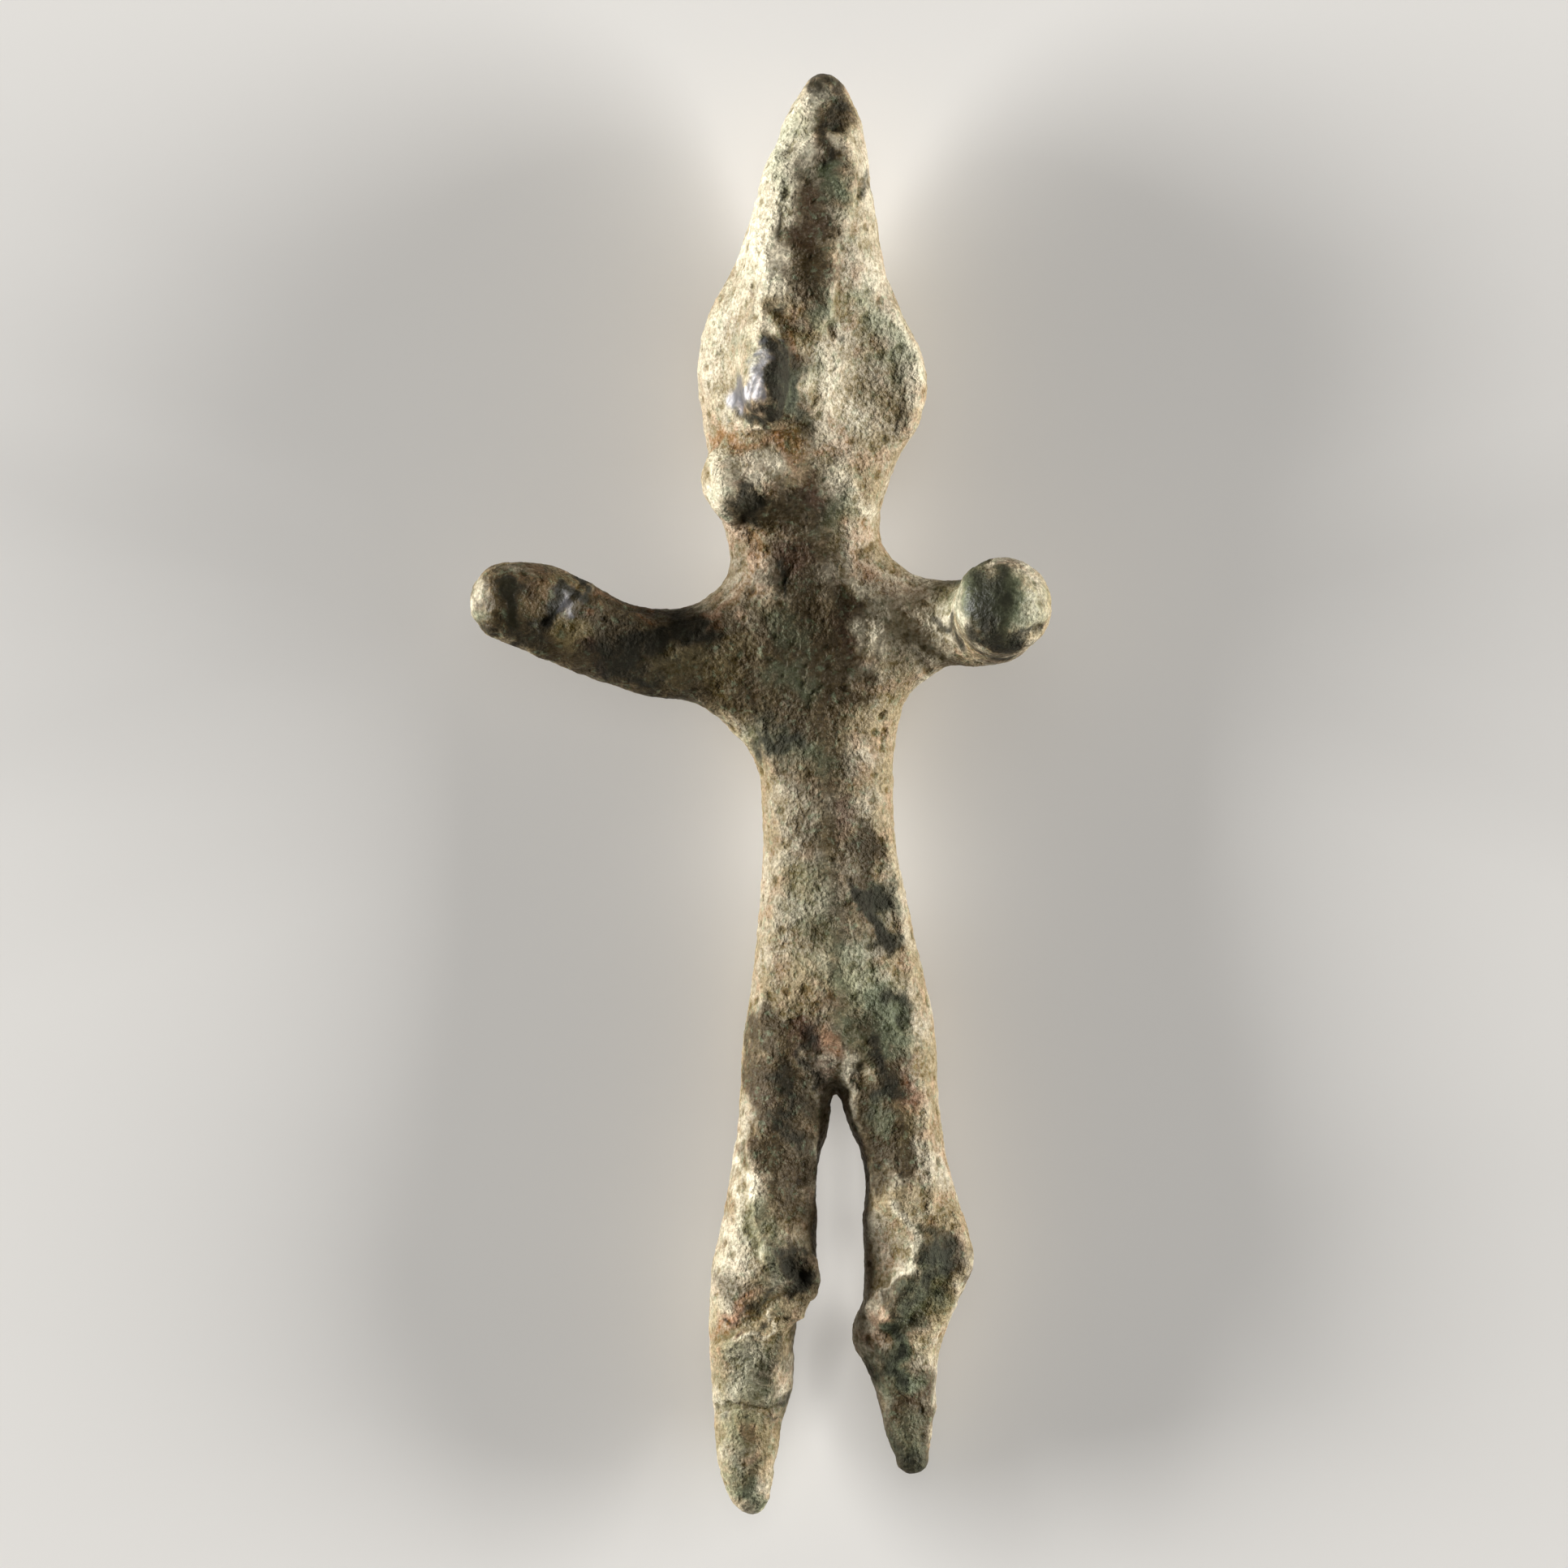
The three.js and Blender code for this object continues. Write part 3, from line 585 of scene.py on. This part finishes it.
        "throat": ([(965, 672), (995, 700)], 20, 0.6),
        "belly": ([(1044, 976), (1046, 1012)], 12, 0.7),
        "bellyLow": ([(1020, 1130)], 12, 0.4),
        "groin": ([(984, 1252), (1000, 1290)], 16, 0.9),
        "loin": ([(1008, 1320), (1018, 1334)], 12, 0.7),
        "thigh": ([(930, 1345), (940, 1400)], 20, 0.25),
        "leftThigh": ([(1128, 1310), (1122, 1350)], 12, 0.6),
        "armBottom": ([(724, 800), (735, 818)], 10, 0.7),
        "leftPeg": ([(1126, 1715), (1120, 1750)], 14, 0.3),
        "shinCrack": ([(900, 1640), (922, 1620)], 5, 0.9),
    },
    "paleAndPaintedLight": {
        # pale crust, partly painted light on flanks, edges and ridges that face the side lamps, with painted
        # highlights
        "hatLeft": ([(966, 180), (948, 250), (930, 320)], 34, 1.3),
        "hatLeftLow": ([(915, 350), (890, 400), (878, 450)], 30, 0.7),
        "hatTip": ([(994, 124), (972, 160)], 22, 0.8),
        "hatRight": ([(1060, 170), (1068, 260), (1078, 340)], 22, 0.5),
        "ridge": ([(955, 330), (940, 400), (915, 470)], 14, 0.7),
        "cheek": ([(1012, 440), (1030, 490), (1060, 520)], 28, 0.8),
        "rim": ([(1112, 400), (1134, 450), (1128, 500)], 14, 0.6),
        "chin": ([(884, 576), (880, 606)], 24, 0.8),
        "jawRight": ([(1038, 588), (1050, 614), (1066, 630)], 18, 0.7),
        # partly pale crust, partly a painted highlight on the hand's rounded end
        "handEnd": ([(580, 722), (582, 770)], 18, 0.9),
        # partly pale crust, partly painted highlights along the lit knee ridges
        "thighRidge": ([(913, 1410), (918, 1480), (924, 1520), (946, 1548)], 9, 0.9),
        "leftKneeTop": ([(1108, 1488), (1130, 1532), (1120, 1564), (1098, 1600)], 9, 1.0),
        # painted light on the calf's edge, where the other leg casts shade
        "leftCalfEdge": ([(1070, 1610), (1058, 1640), (1066, 1662)], 14, 1.0),
        "leftPegSide": ([(1146, 1640), (1144, 1740)], 12, 0.5),
        "shin": ([(902, 1530), (892, 1610)], 28, 0.6),
        "faceLeft": ([(890, 420), (884, 500)], 30, 0.5),
        # painted light on the arm's root, where the raised forearm casts shade
        "leftArm": ([(1096, 750), (1146, 772)], 38, 1.6),
        "chinTop": ([(900, 574), (960, 578)], 12, 0.6),
        # partly pale crust, partly a painted highlight on the lit rim of the shin fold
        "shinFold": ([(966, 1610), (936, 1638), (900, 1656)], 5, 0.8),
        "leftThighTop": ([(1042, 1292), (1046, 1330), (1054, 1376)], 9, 0.9),
        "mouth": ([(890, 534), (940, 542)], 15, 0.6),
        "neckLeft": ([(914, 660), (930, 700), (905, 730), (878, 746)], 11, 0.8),
        "neckRight": ([(1062, 656), (1074, 700), (1112, 724)], 12, 0.7),
        # painted highlights on the ball's left and right
        "ballLeft": ([(1184, 728), (1181, 746)], 8, 0.7),
        "ballRight": ([(1256, 734), (1262, 754)], 14, 0.4),
        "leftPegEdge": ([(1082, 1716), (1096, 1768)], 10, 0.7),
    },
    "ochre": {
        "hatSpot": ([(985, 154)], 10, 0.7),
        "armPatch": ([(708, 776)], 26, 1.2),
        "armPlate": ([(820, 812), (856, 822)], 24, 0.9),
        "shoulder": ([(905, 790), (880, 840)], 26, 0.5),
        "hand": ([(690, 715), (660, 740)], 14, 0.5),
        "neck": ([(925, 680)], 10, 0.6),
        "shinLeft": ([(888, 1620), (886, 1640)], 12, 0.7),
        "peg": ([(905, 1770), (950, 1770), (946, 1820)], 22, 0.9),
        "leftShinEdge": ([(1160, 1590), (1142, 1650)], 18, 1.0),
        "leftThigh": ([(1118, 1370), (1116, 1400)], 14, 0.6),
        "leftKnee": ([(1160, 1510), (1150, 1520)], 12, 0.6),
        "knee": ([(1000, 1560)], 10, 0.7),
        "leftPad": ([(1138, 786), (1160, 806)], 20, 0.7),
    },
    "bare": {
        "nose": ([(931, 452), (917, 500)], 14, 1.3),
        "noseTop": ([(942, 424)], 10, 0.6),
        "armFacet": ([(694, 756), (707, 749)], 4, 0.8),
    },
    "worn": {
        "nose": ([(930, 450), (916, 500)], 17, 1.4),
        "hatTip": ([(1004, 98), (1038, 104)], 22, 0.6),
        "hand": ([(590, 735), (640, 745), (700, 750)], 46, 0.5),
        "armFacet": ([(692, 757), (710, 747)], 10, 1.0),
        "handSpot": ([(624, 735), (630, 755)], 16, 1.0),
        "ball": ([(1205, 740), (1250, 740)], 38, 0.9),
        "chin": ([(925, 620), (905, 640)], 16, 0.5),
        "leftPegTip": ([(1128, 1815)], 20, 0.5),
        "boot": ([(884, 1680)], 12, 0.4),
    },
}

# The same on the back, plainer.
backStains = {
    "umberAndPaintedShade": {
        "nape": ([(950, 640), (1040, 650)], 40, 1.0),
        "spine": ([(1004, 720), (1016, 900), (1020, 1180)], 34, 0.8),
        "seat": ([(975, 1270), (1080, 1280)], 40, 0.9),
        "thighRight": ([(960, 1340), (950, 1500)], 26, 0.9),
        "thighLeft": ([(1104, 1340), (1124, 1520)], 26, 0.9),
        "armRight": ([(700, 780), (830, 815)], 34, 1.0),
    },
    "black": {
        "hat": ([(1010, 160), (1000, 300)], 20, 0.7),
        "calfRight": ([(925, 1610), (915, 1690)], 20, 0.7),
        "calfLeft": ([(1130, 1600), (1110, 1660)], 20, 0.7),
    },
    "green": {
        "hat": ([(960, 330), (940, 450)], 36, 0.8),
        "shoulders": ([(930, 790), (1080, 790)], 40, 0.7),
        "waist": ([(1010, 1000), (1030, 1100)], 40, 0.6),
        "pegRight": ([(920, 1740), (920, 1830)], 36, 0.8),
        "pegLeft": ([(1112, 1720), (1124, 1800)], 30, 0.8),
    },
    "paleAndPaintedLight": {
        "hat": ([(1070, 300), (1080, 460)], 34, 0.6),
        "shinRight": ([(905, 1540), (900, 1620)], 26, 0.6),
    },
}


# How the stains' lines stray and fade
staining = {
    "strays": ((1.6, 7.0, 21), (0.6, 3.5, 23)),  # size in millimetres, reach in pixels, seed
    "fadeOut": 1.7,  # where a stain ends, in radii
}


def stain(mesh):
    # one point attribute for each stain, painted light and shade among them
    points, normals = readPoints(mesh)
    columns, rows = seenAt(points)
    facing = normals[:, 2] / casting["faceOn"]
    for size, reach, seed in staining["strays"]:
        columns = columns + reach * stray(points, size, seed)
        rows = rows + reach * stray(points, size, seed + 1)
    for name, patches in stains.items():
        depth = np.zeros(len(points))
        for painted, toward in ((patches, facing), (backStains.get(name, {}), -facing)):
            square = np.clip(0.5 + toward, 0, 1)
            for line, radius, strength in painted.values():
                distance, _ = nearLine(columns, rows, line)
                inside = soften(1 - distance / (staining["fadeOut"] * radius))
                depth = np.maximum(depth, strength * square * inside)
        attribute = mesh.attributes.new(name, "FLOAT", "POINT")
        attribute.data.foreach_set("value", depth.astype(np.float32))


# Corrosion relief. These are the inputs of its node tree.
corrosion = {
    "Seed": 11,
    "Swell Size": 1.7,
    "Swell Height": 0.27,
    "Grain Size": 0.52,
    "Grain Height": 0.24,
    "Pit Spacing": 1.1,
    "Pit Width": 0.42,
    "Pit Depth": 0.12,
    "Narrowest Pit": 0.3,  # as a share of the pit width
    "Widest Pit": 1.2,
    "Worn Share": 0.25,  # of the grain that is left where the metal is rubbed smooth
    "Black Rub": 0.5,  # how far black metal counts as rubbed smooth
    "Blur Steps": 14,
}


def centred(tree, value, height):
    # noise from 0 to 1 as a lift up or down
    return times(tree, reckon(tree, "SUBTRACT", value, 0.5), height)


def readStain(tree, name):
    return place(tree, "GeometryNodeInputNamedAttribute", {"data_type": "FLOAT"}, Name=name).outputs[0]


def storeValue(tree, geometry, name, value):
    return place(
        tree, "GeometryNodeStoreNamedAttribute", {"data_type": "FLOAT", "domain": "POINT"},
        Geometry=geometry, Name=name, Value=value,
    ).outputs[0]


def makeCorrosionTree():
    inputs = [("Geometry", "NodeSocketGeometry", None)]
    for name, value in corrosion.items():
        inputs.append((name, "NodeSocketInt" if isinstance(value, int) else "NodeSocketFloat", value))
    inputs.append(("Finish", "NodeSocketMaterial", None))
    tree, given, result = startGroup(
        "castCorrosion", "GeometryNodeTree", inputs, [("Geometry", "NodeSocketGeometry")]
    )
    position = place(tree, "GeometryNodeInputPosition").outputs[0]
    normal = place(tree, "GeometryNodeInputNormal").outputs[0]
    blackRub = times(tree, readStain(tree, "black"), given["Black Rub"])
    rubbed = reckon(tree, "MAXIMUM", readStain(tree, "worn"), blackRub)
    rough = fade(tree, rubbed, 0.2, 0.9, 1.0, 0.0)
    crust = mixNumber(tree, rough, given["Worn Share"], 1.0)

    # low swells, and grains that stand in the crust
    swell = noiseAt(tree, position, reckon(tree, "DIVIDE", 1.0, given["Swell Size"]), 2.0)
    swell = centred(tree, swell, given["Swell Height"])
    grain = noiseAt(tree, position, reckon(tree, "DIVIDE", 1.0, given["Grain Size"]), 3.0, 0.62)
    grain = centred(tree, grain, given["Grain Height"])
    lift = reckon(tree, "ADD", swell, times(tree, grain, crust))

    # pits around points strewn over the surface, each with its own width
    density = reckon(tree, "DIVIDE", 2.0, reckon(tree, "POWER", given["Pit Spacing"], 2.0))
    strewn = place(
        tree, "GeometryNodeDistributePointsOnFaces", {"distribute_method": "POISSON"},
        Mesh=given["Geometry"], DistanceMin=given["Pit Spacing"], DensityMax=density, Seed=given["Seed"],
    )
    nearest = place(
        tree, "GeometryNodeProximity", {"target_element": "POINTS"},
        Target=strewn.outputs["Points"], SamplePosition=position,
    )
    chance = noiseAt(tree, nearest.outputs["Position"], 3.7, 0.0)
    share = fade(tree, chance, 0.35, 0.75, given["Narrowest Pit"], given["Widest Pit"])
    width = times(tree, given["Pit Width"], share)
    pit = fade(tree, reckon(tree, "DIVIDE", nearest.outputs["Distance"], width), 0.0, 1.0, 1.0, 0.0)
    pit = times(tree, pit, crust)
    lift = reckon(tree, "SUBTRACT", lift, times(tree, pit, given["Pit Depth"]))

    offset = place(tree, "ShaderNodeVectorMath", {"operation": "SCALE"}, Vector=normal, Scale=lift)
    moved = place(tree, "GeometryNodeSetPosition", Geometry=given["Geometry"], Offset=offset.outputs[0])
    shaped = storeValue(tree, moved.outputs[0], "pit", pit)

    # how far each point stands above the surface around it
    around = place(
        tree, "GeometryNodeBlurAttribute", {"data_type": "FLOAT_VECTOR"},
        Value=position, Iterations=given["Blur Steps"],
    ).outputs["Value"]
    away = place(
        tree, "ShaderNodeVectorMath", {"operation": "SUBTRACT"}, Vector=position, Vector_001=around
    ).outputs[0]
    rise = place(tree, "ShaderNodeVectorMath", {"operation": "DOT_PRODUCT"}, Vector=away, Vector_001=normal)
    shaped = storeValue(tree, shaped, "rise", rise.outputs["Value"])

    realized = place(tree, "GeometryNodeRealizeInstances", Geometry=shaped).outputs[0]
    finished = place(
        tree, "GeometryNodeSetMaterial", Geometry=realized, Material=given["Finish"]
    ).outputs[0]
    tree.links.new(finished, result["Geometry"])
    return tree


def corrode(body, finish):
    tree = makeCorrosionTree()
    modifier = body.modifiers.new("corrosion", "NODES")
    modifier.node_group = tree
    settings = {**corrosion, "Finish": finish}
    for item in tree.interface.items_tree:
        if item.in_out == "INPUT" and item.name in settings:
            modifier[item.identifier] = settings[item.name]
    return bakeModifiers(body, "figurineCasting")


# Patina. The tints of the stains carry the stains' names; the pale, umber and black ones also paint light
# and shade.
patina = {
    "tan": tint("74664a"),
    "cream": tint("908671"),
    "sand": tint("826a51"),
    "olive": tint("5a5338"),
    # umber crust, also the tint of painted shade on the front
    "umberAndPaintedShade": tint("34280f"),
    # black patina, also the tint of painted shadows
    "black": tint("19180c"),
    "green": tint("647158"),
    "earth": tint("8b6447"),
    "red": tint("472f22"),
    # pale crust, also the tint of painted light and highlights
    "paleAndPaintedLight": tint("bbb29a"),
    "ochre": tint("6b5d39"),
    "metal": tint("74747a"),
    "breakup": 1.5,  # patches of the stains' torn edges to a millimetre
    "metalCover": 0.55,  # how fully bare metal takes its own tint
    "metalness": 0.5,
    "grainRoughness": (0.35, 0.65, 0.74, 0.56),  # from dull grains to bright ones
    "blackRoughness": 0.82,
    "wornRoughness": 0.42,
    "specularLevel": 0.22,
    "bump": 0.09 * mm,
    "wornBump": 0.4,  # share of the bump that is left there
    "bareBump": 0.12,
}

# Clouds in the crust: patches to a millimetre, the noise where one starts and is full, its cover.
clouds = {
    "cream": (0.32, 0.42, 0.62, 1.0),
    "sand": (0.7, 0.48, 0.66, 0.65),
    "olive": (1.35, 0.5, 0.7, 0.4),
    "green": (2.0, 0.54, 0.68, 0.4),
}

# How a stain is laid on: its cover, how far the tear and the grains shift its edge, how soft that
# edge is, and whether its tear is turned over, so that it keeps off the stains whose tear isn't.
plainLayer = {"cover": 1.0, "spread": 0.5, "grainSpread": 0.6, "softness": 0.48, "turned": False}
layers = {
    "paleAndPaintedLight": {"cover": 0.7, "spread": 0.25},
    "umberAndPaintedShade": {"cover": 0.94, "spread": 0.24, "softness": 0.5, "turned": True},
    "ochre": {"cover": 0.6},
    "red": {"cover": 0.7, "turned": True},
    "earth": {"cover": 0.65},
    "green": {"cover": 0.46, "turned": True},
    "black": {"cover": 0.88, "spread": 0.6},
    "worn": {"spread": 0.7, "grainSpread": 0.4},
    "bare": {"grainSpread": 0.3},
}

# What lights and dulls the crust, as painted light and shade of the relief and partly dirt in its hollows:
# the value's range, and the factor at its start and end.
reliefShadeAndDirt = {
    "rise": (-0.08, 0.08, 0.7, 1.3),
    "grains": (0.3, 0.7, 0.68, 1.34),
    "coarse": (0.3, 0.65, 0.84, 1.16),
    "pit": (0.0, 1.0, 1.0, 0.45),
    "saturation": (0.5, 1.1, 1.4, 0.96),  # from the dull crust to the bright
}

# Grains of the crust, as the inputs of their node group.
speckling = {
    "Scale": 4.8,  # fine grains to a millimetre
    "Coarse Scale": 0.56,  # shares of that
    "Cell Scale": 0.6,
    "Coarse Height": 2.6,  # shares of the bump
    "Fine Height": 0.7,
    "Cell Depth": 0.4,
}


def makeRaggedGroup():
    # a painted stain with a torn edge
    tree, given, result = startGroup(
        "raggedStain", "ShaderNodeTree",
        [(name, "NodeSocketFloat", 0.5)
         for name in ("Stain", "Tear", "Grains", "Spread", "Grain Spread", "Softness", "Cover")],
        [("Mask", "NodeSocketFloat")],
    )
    torn = centred(tree, given["Tear"], given["Spread"])
    frayed = centred(tree, given["Grains"], given["Grain Spread"])
    shifted = reckon(tree, "SUBTRACT", reckon(tree, "ADD", given["Stain"], torn), frayed)
    start = reckon(tree, "SUBTRACT", 0.5, given["Softness"])
    end = reckon(tree, "ADD", 0.5, given["Softness"])
    kept = fade(tree, given["Stain"], 0.02, 0.25)  # no stain where none is painted
    mask = times(tree, fade(tree, shifted, start, end), kept)
    tree.links.new(times(tree, mask, given["Cover"]), result["Mask"])
    return tree


def makeSpeckleGroup():
    # grains of two sizes around one half, and the height of the crust they make
    inputs = [(name, "NodeSocketFloat", value) for name, value in speckling.items()]
    tree, given, result = startGroup(
        "crustSpeckle", "ShaderNodeTree", [("Coordinates", "NodeSocketVector", None), *inputs],
        [("Grains", "NodeSocketFloat"), ("Coarse", "NodeSocketFloat"), ("Height", "NodeSocketFloat")],
    )
    fine = noiseAt(tree, given["Coordinates"], given["Scale"], 3.0, 0.65)
    coarseScale = times(tree, given["Scale"], given["Coarse Scale"])
    coarse = noiseAt(tree, given["Coordinates"], coarseScale, 2.0, 0.55)
    cellScale = times(tree, given["Scale"], given["Cell Scale"])
    cells = place(
        tree, "ShaderNodeTexVoronoi", {"feature": "F1"}, Vector=given["Coordinates"], Scale=cellScale
    ).outputs["Distance"]
    coarseHeight = times(tree, coarse, given["Coarse Height"])
    height = reckon(tree, "ADD", coarseHeight, times(tree, fine, given["Fine Height"]))
    height = reckon(tree, "SUBTRACT", height, times(tree, cells, given["Cell Depth"]))
    tree.links.new(fine, result["Grains"])
    tree.links.new(coarse, result["Coarse"])
    tree.links.new(height, result["Height"])
    return tree


def makePatina():
    material = bpy.data.materials.new("corrodedBronze")
    material.use_nodes = True
    tree = material.node_tree
    shader = tree.nodes["Principled BSDF"]
    raggedGroup = makeRaggedGroup()

    coordinates = place(
        tree, "ShaderNodeMapping", Vector=place(tree, "ShaderNodeTexCoord").outputs["Object"],
        Scale=(1 / mm, 1 / mm, 1 / mm),
    ).outputs[0]
    speckle = place(
        tree, "ShaderNodeGroup", {"node_tree": makeSpeckleGroup()}, Coordinates=coordinates,
        **{name.replace(" ", ""): value for name, value in speckling.items()},
    ).outputs
    tear = noiseAt(tree, coordinates, patina["breakup"], 5.0, 0.65)
    turnedTear = reckon(tree, "SUBTRACT", 1.0, tear)

    def readPoint(name):
        return place(tree, "ShaderNodeAttribute", {"attribute_name": name}).outputs["Fac"]

    def painted(name):
        layer = {**plainLayer, **layers[name]}
        return place(
            tree, "ShaderNodeGroup", {"node_tree": raggedGroup}, Stain=readPoint(name),
            Tear=turnedTear if layer["turned"] else tear, Grains=speckle["Coarse"],
            Spread=layer["spread"], GrainSpread=layer["grainSpread"], Softness=layer["softness"],
            Cover=layer["cover"],
        ).outputs["Mask"]

    def clouded(name):
        scale, start, end, cover = clouds[name]
        return fade(tree, noiseAt(tree, coordinates, scale, 4.0, 0.6, 0.3), start, end, 0.0, cover)

    # the crust: tan and cream in soft clouds, flecked with sand, olive and green
    crust = patina["tan"]
    for name in ("cream", "sand", "olive"):
        crust = mixTint(tree, clouded(name), crust, patina[name])
    # stains laid on; the pale ones are partly painted light and the umber ones partly painted shade
    for name in ("paleAndPaintedLight", "umberAndPaintedShade", "ochre", "red", "earth"):
        crust = mixTint(tree, painted(name), crust, patina[name])
    greenMask = reckon(tree, "MAXIMUM", painted("green"), clouded("green"))
    crust = mixTint(tree, greenMask, crust, patina["green"])

    # painted shade of the relief, partly dirt in its hollows: raised grains and edges are painted brighter,
    # hollows and pits darker
    shadeAndDirtFactor = 1.0
    for name, value in (
        ("rise", readPoint("rise")), ("grains", speckle["Grains"]),
        ("coarse", speckle["Coarse"]), ("pit", readPoint("pit")),
    ):
        shadeAndDirtFactor = times(tree, shadeAndDirtFactor, fade(tree, value, *reliefShadeAndDirt[name]))
    depth = fade(tree, shadeAndDirtFactor, *reliefShadeAndDirt["saturation"])
    crust = place(
        tree, "ShaderNodeHueSaturation", Value=shadeAndDirtFactor, Saturation=depth, Color=crust
    ).outputs[0]

    # black patina, with a few painted shadows among it
    black, worn, bare = painted("black"), painted("worn"), painted("bare")
    skin = mixTint(tree, black, crust, patina["black"])
    skin = mixTint(tree, times(tree, bare, patina["metalCover"]), skin, patina["metal"])
    tree.links.new(skin, shader.inputs["Base Color"])
    metallic = times(tree, bare, patina["metalness"])
    tree.links.new(metallic, shader.inputs["Metallic"])

    rough = fade(tree, speckle["Grains"], *patina["grainRoughness"])
    rough = mixNumber(tree, black, rough, patina["blackRoughness"])
    rough = mixNumber(tree, worn, rough, patina["wornRoughness"])
    tree.links.new(rough, shader.inputs["Roughness"])
    shader.inputs["Specular IOR Level"].default_value = patina["specularLevel"]

    bumpShare = mixNumber(tree, worn, 1.0, patina["wornBump"])
    bumpShare = mixNumber(tree, bare, bumpShare, patina["bareBump"])
    bump = place(
        tree, "ShaderNodeBump", Strength=bumpShare, Distance=patina["bump"], Height=speckle["Height"]
    ).outputs[0]
    tree.links.new(bump, shader.inputs["Normal"])
    return material


# Floor and light, in metres and watts
studio = {
    "floorSize": 3.0,
    "floorTint": tint("e0ddd8"),
    "floorRoughness": 0.8,
    "worldTint": tint("dedcd8"),
    "worldStrength": 0.06,
    "sideDistance": 0.75,
    "sideSize": (0.5, 0.2),
    "sideElevation": 11,  # degrees above the floor
    "leftPower": 15.0,
    "leftShift": 0.05,  # towards the figure's head
    "rightPower": 13.4,
    "rightShift": 0.02,
    "topPower": 0.7,
    "topHeight": 1.1,
    "topShift": 0.3,
    "topSize": (0.5, 0.5),
}


def makeFloor():
    half = studio["floorSize"] / 2
    corners = [(-half, -half, 0), (half, -half, 0), (half, half, 0), (-half, half, 0)]
    mesh = bpy.data.meshes.new("floor")
    mesh.from_pydata(corners, [], [(0, 1, 2, 3)])
    material = bpy.data.materials.new("paleAndPaintedLightFloor")
    material.use_nodes = True
    shader = material.node_tree.nodes["Principled BSDF"]
    shader.inputs["Base Color"].default_value = studio["floorTint"]
    shader.inputs["Roughness"].default_value = studio["floorRoughness"]
    mesh.materials.append(material)
    addObject("floor", mesh)


def makeSoftbox(name, away, power, size):
    # a soft rectangular lamp that looks at the aim, from so far away
    data = bpy.data.lights.new(name, "AREA")
    data.energy = power
    data.shape = "RECTANGLE"
    data.size, data.size_y = size
    light = addObject(name, data)
    light.location = aim + Vector(away)
    light.rotation_euler = (aim - light.location).to_track_quat("-Z", "Y").to_euler()
    light.visible_camera = False


def makeStudio():
    scene = bpy.context.scene
    scene.view_settings.view_transform = "Standard"
    world = bpy.data.worlds.new("studio")
    world.use_nodes = True
    background = world.node_tree.nodes["Background"]
    background.inputs["Color"].default_value = studio["worldTint"]
    background.inputs["Strength"].default_value = studio["worldStrength"]
    scene.world = world
    elevation = math.radians(studio["sideElevation"])
    reach = studio["sideDistance"] * math.cos(elevation)
    rise = studio["sideDistance"] * math.sin(elevation)
    for name, away, power, size in (
        ("left", (-reach, studio["leftShift"], rise), studio["leftPower"], studio["sideSize"]),
        ("right", (reach, studio["rightShift"], rise), studio["rightPower"], studio["sideSize"]),
        ("top", (0, studio["topShift"], studio["topHeight"]), studio["topPower"], studio["topSize"]),
    ):
        makeSoftbox(name + "Softbox", away, power, size)


makeCamera()
print("camera", round(bpy.context.scene.camera.data.lens, 2))

worked = makeWorkedBody()
print("worked body", len(worked.data.vertices), "points")
carve(worked.data)
print("carved", sum(len(strokes) for strokes in (carving, backCarving, sideCarving)), "strokes")
stain(worked.data)
print("stained", sum(map(len, [*stains.values(), *backStains.values()])), "patches")

figurine = corrode(worked, makePatina())
points, _ = readPoints(figurine.data)
points[:, 2] = np.maximum(points[:, 2], 0)  # it rests on the floor
figurine.data.vertices.foreach_set("co", (points * mm).ravel())
figurine.data.update()
print("corroded", sum(len(p.vertices) - 2 for p in figurine.data.polygons), "triangles")

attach(figurine, "root")
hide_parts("figurine")

makeFloor()
makeStudio()
print("studio lit")
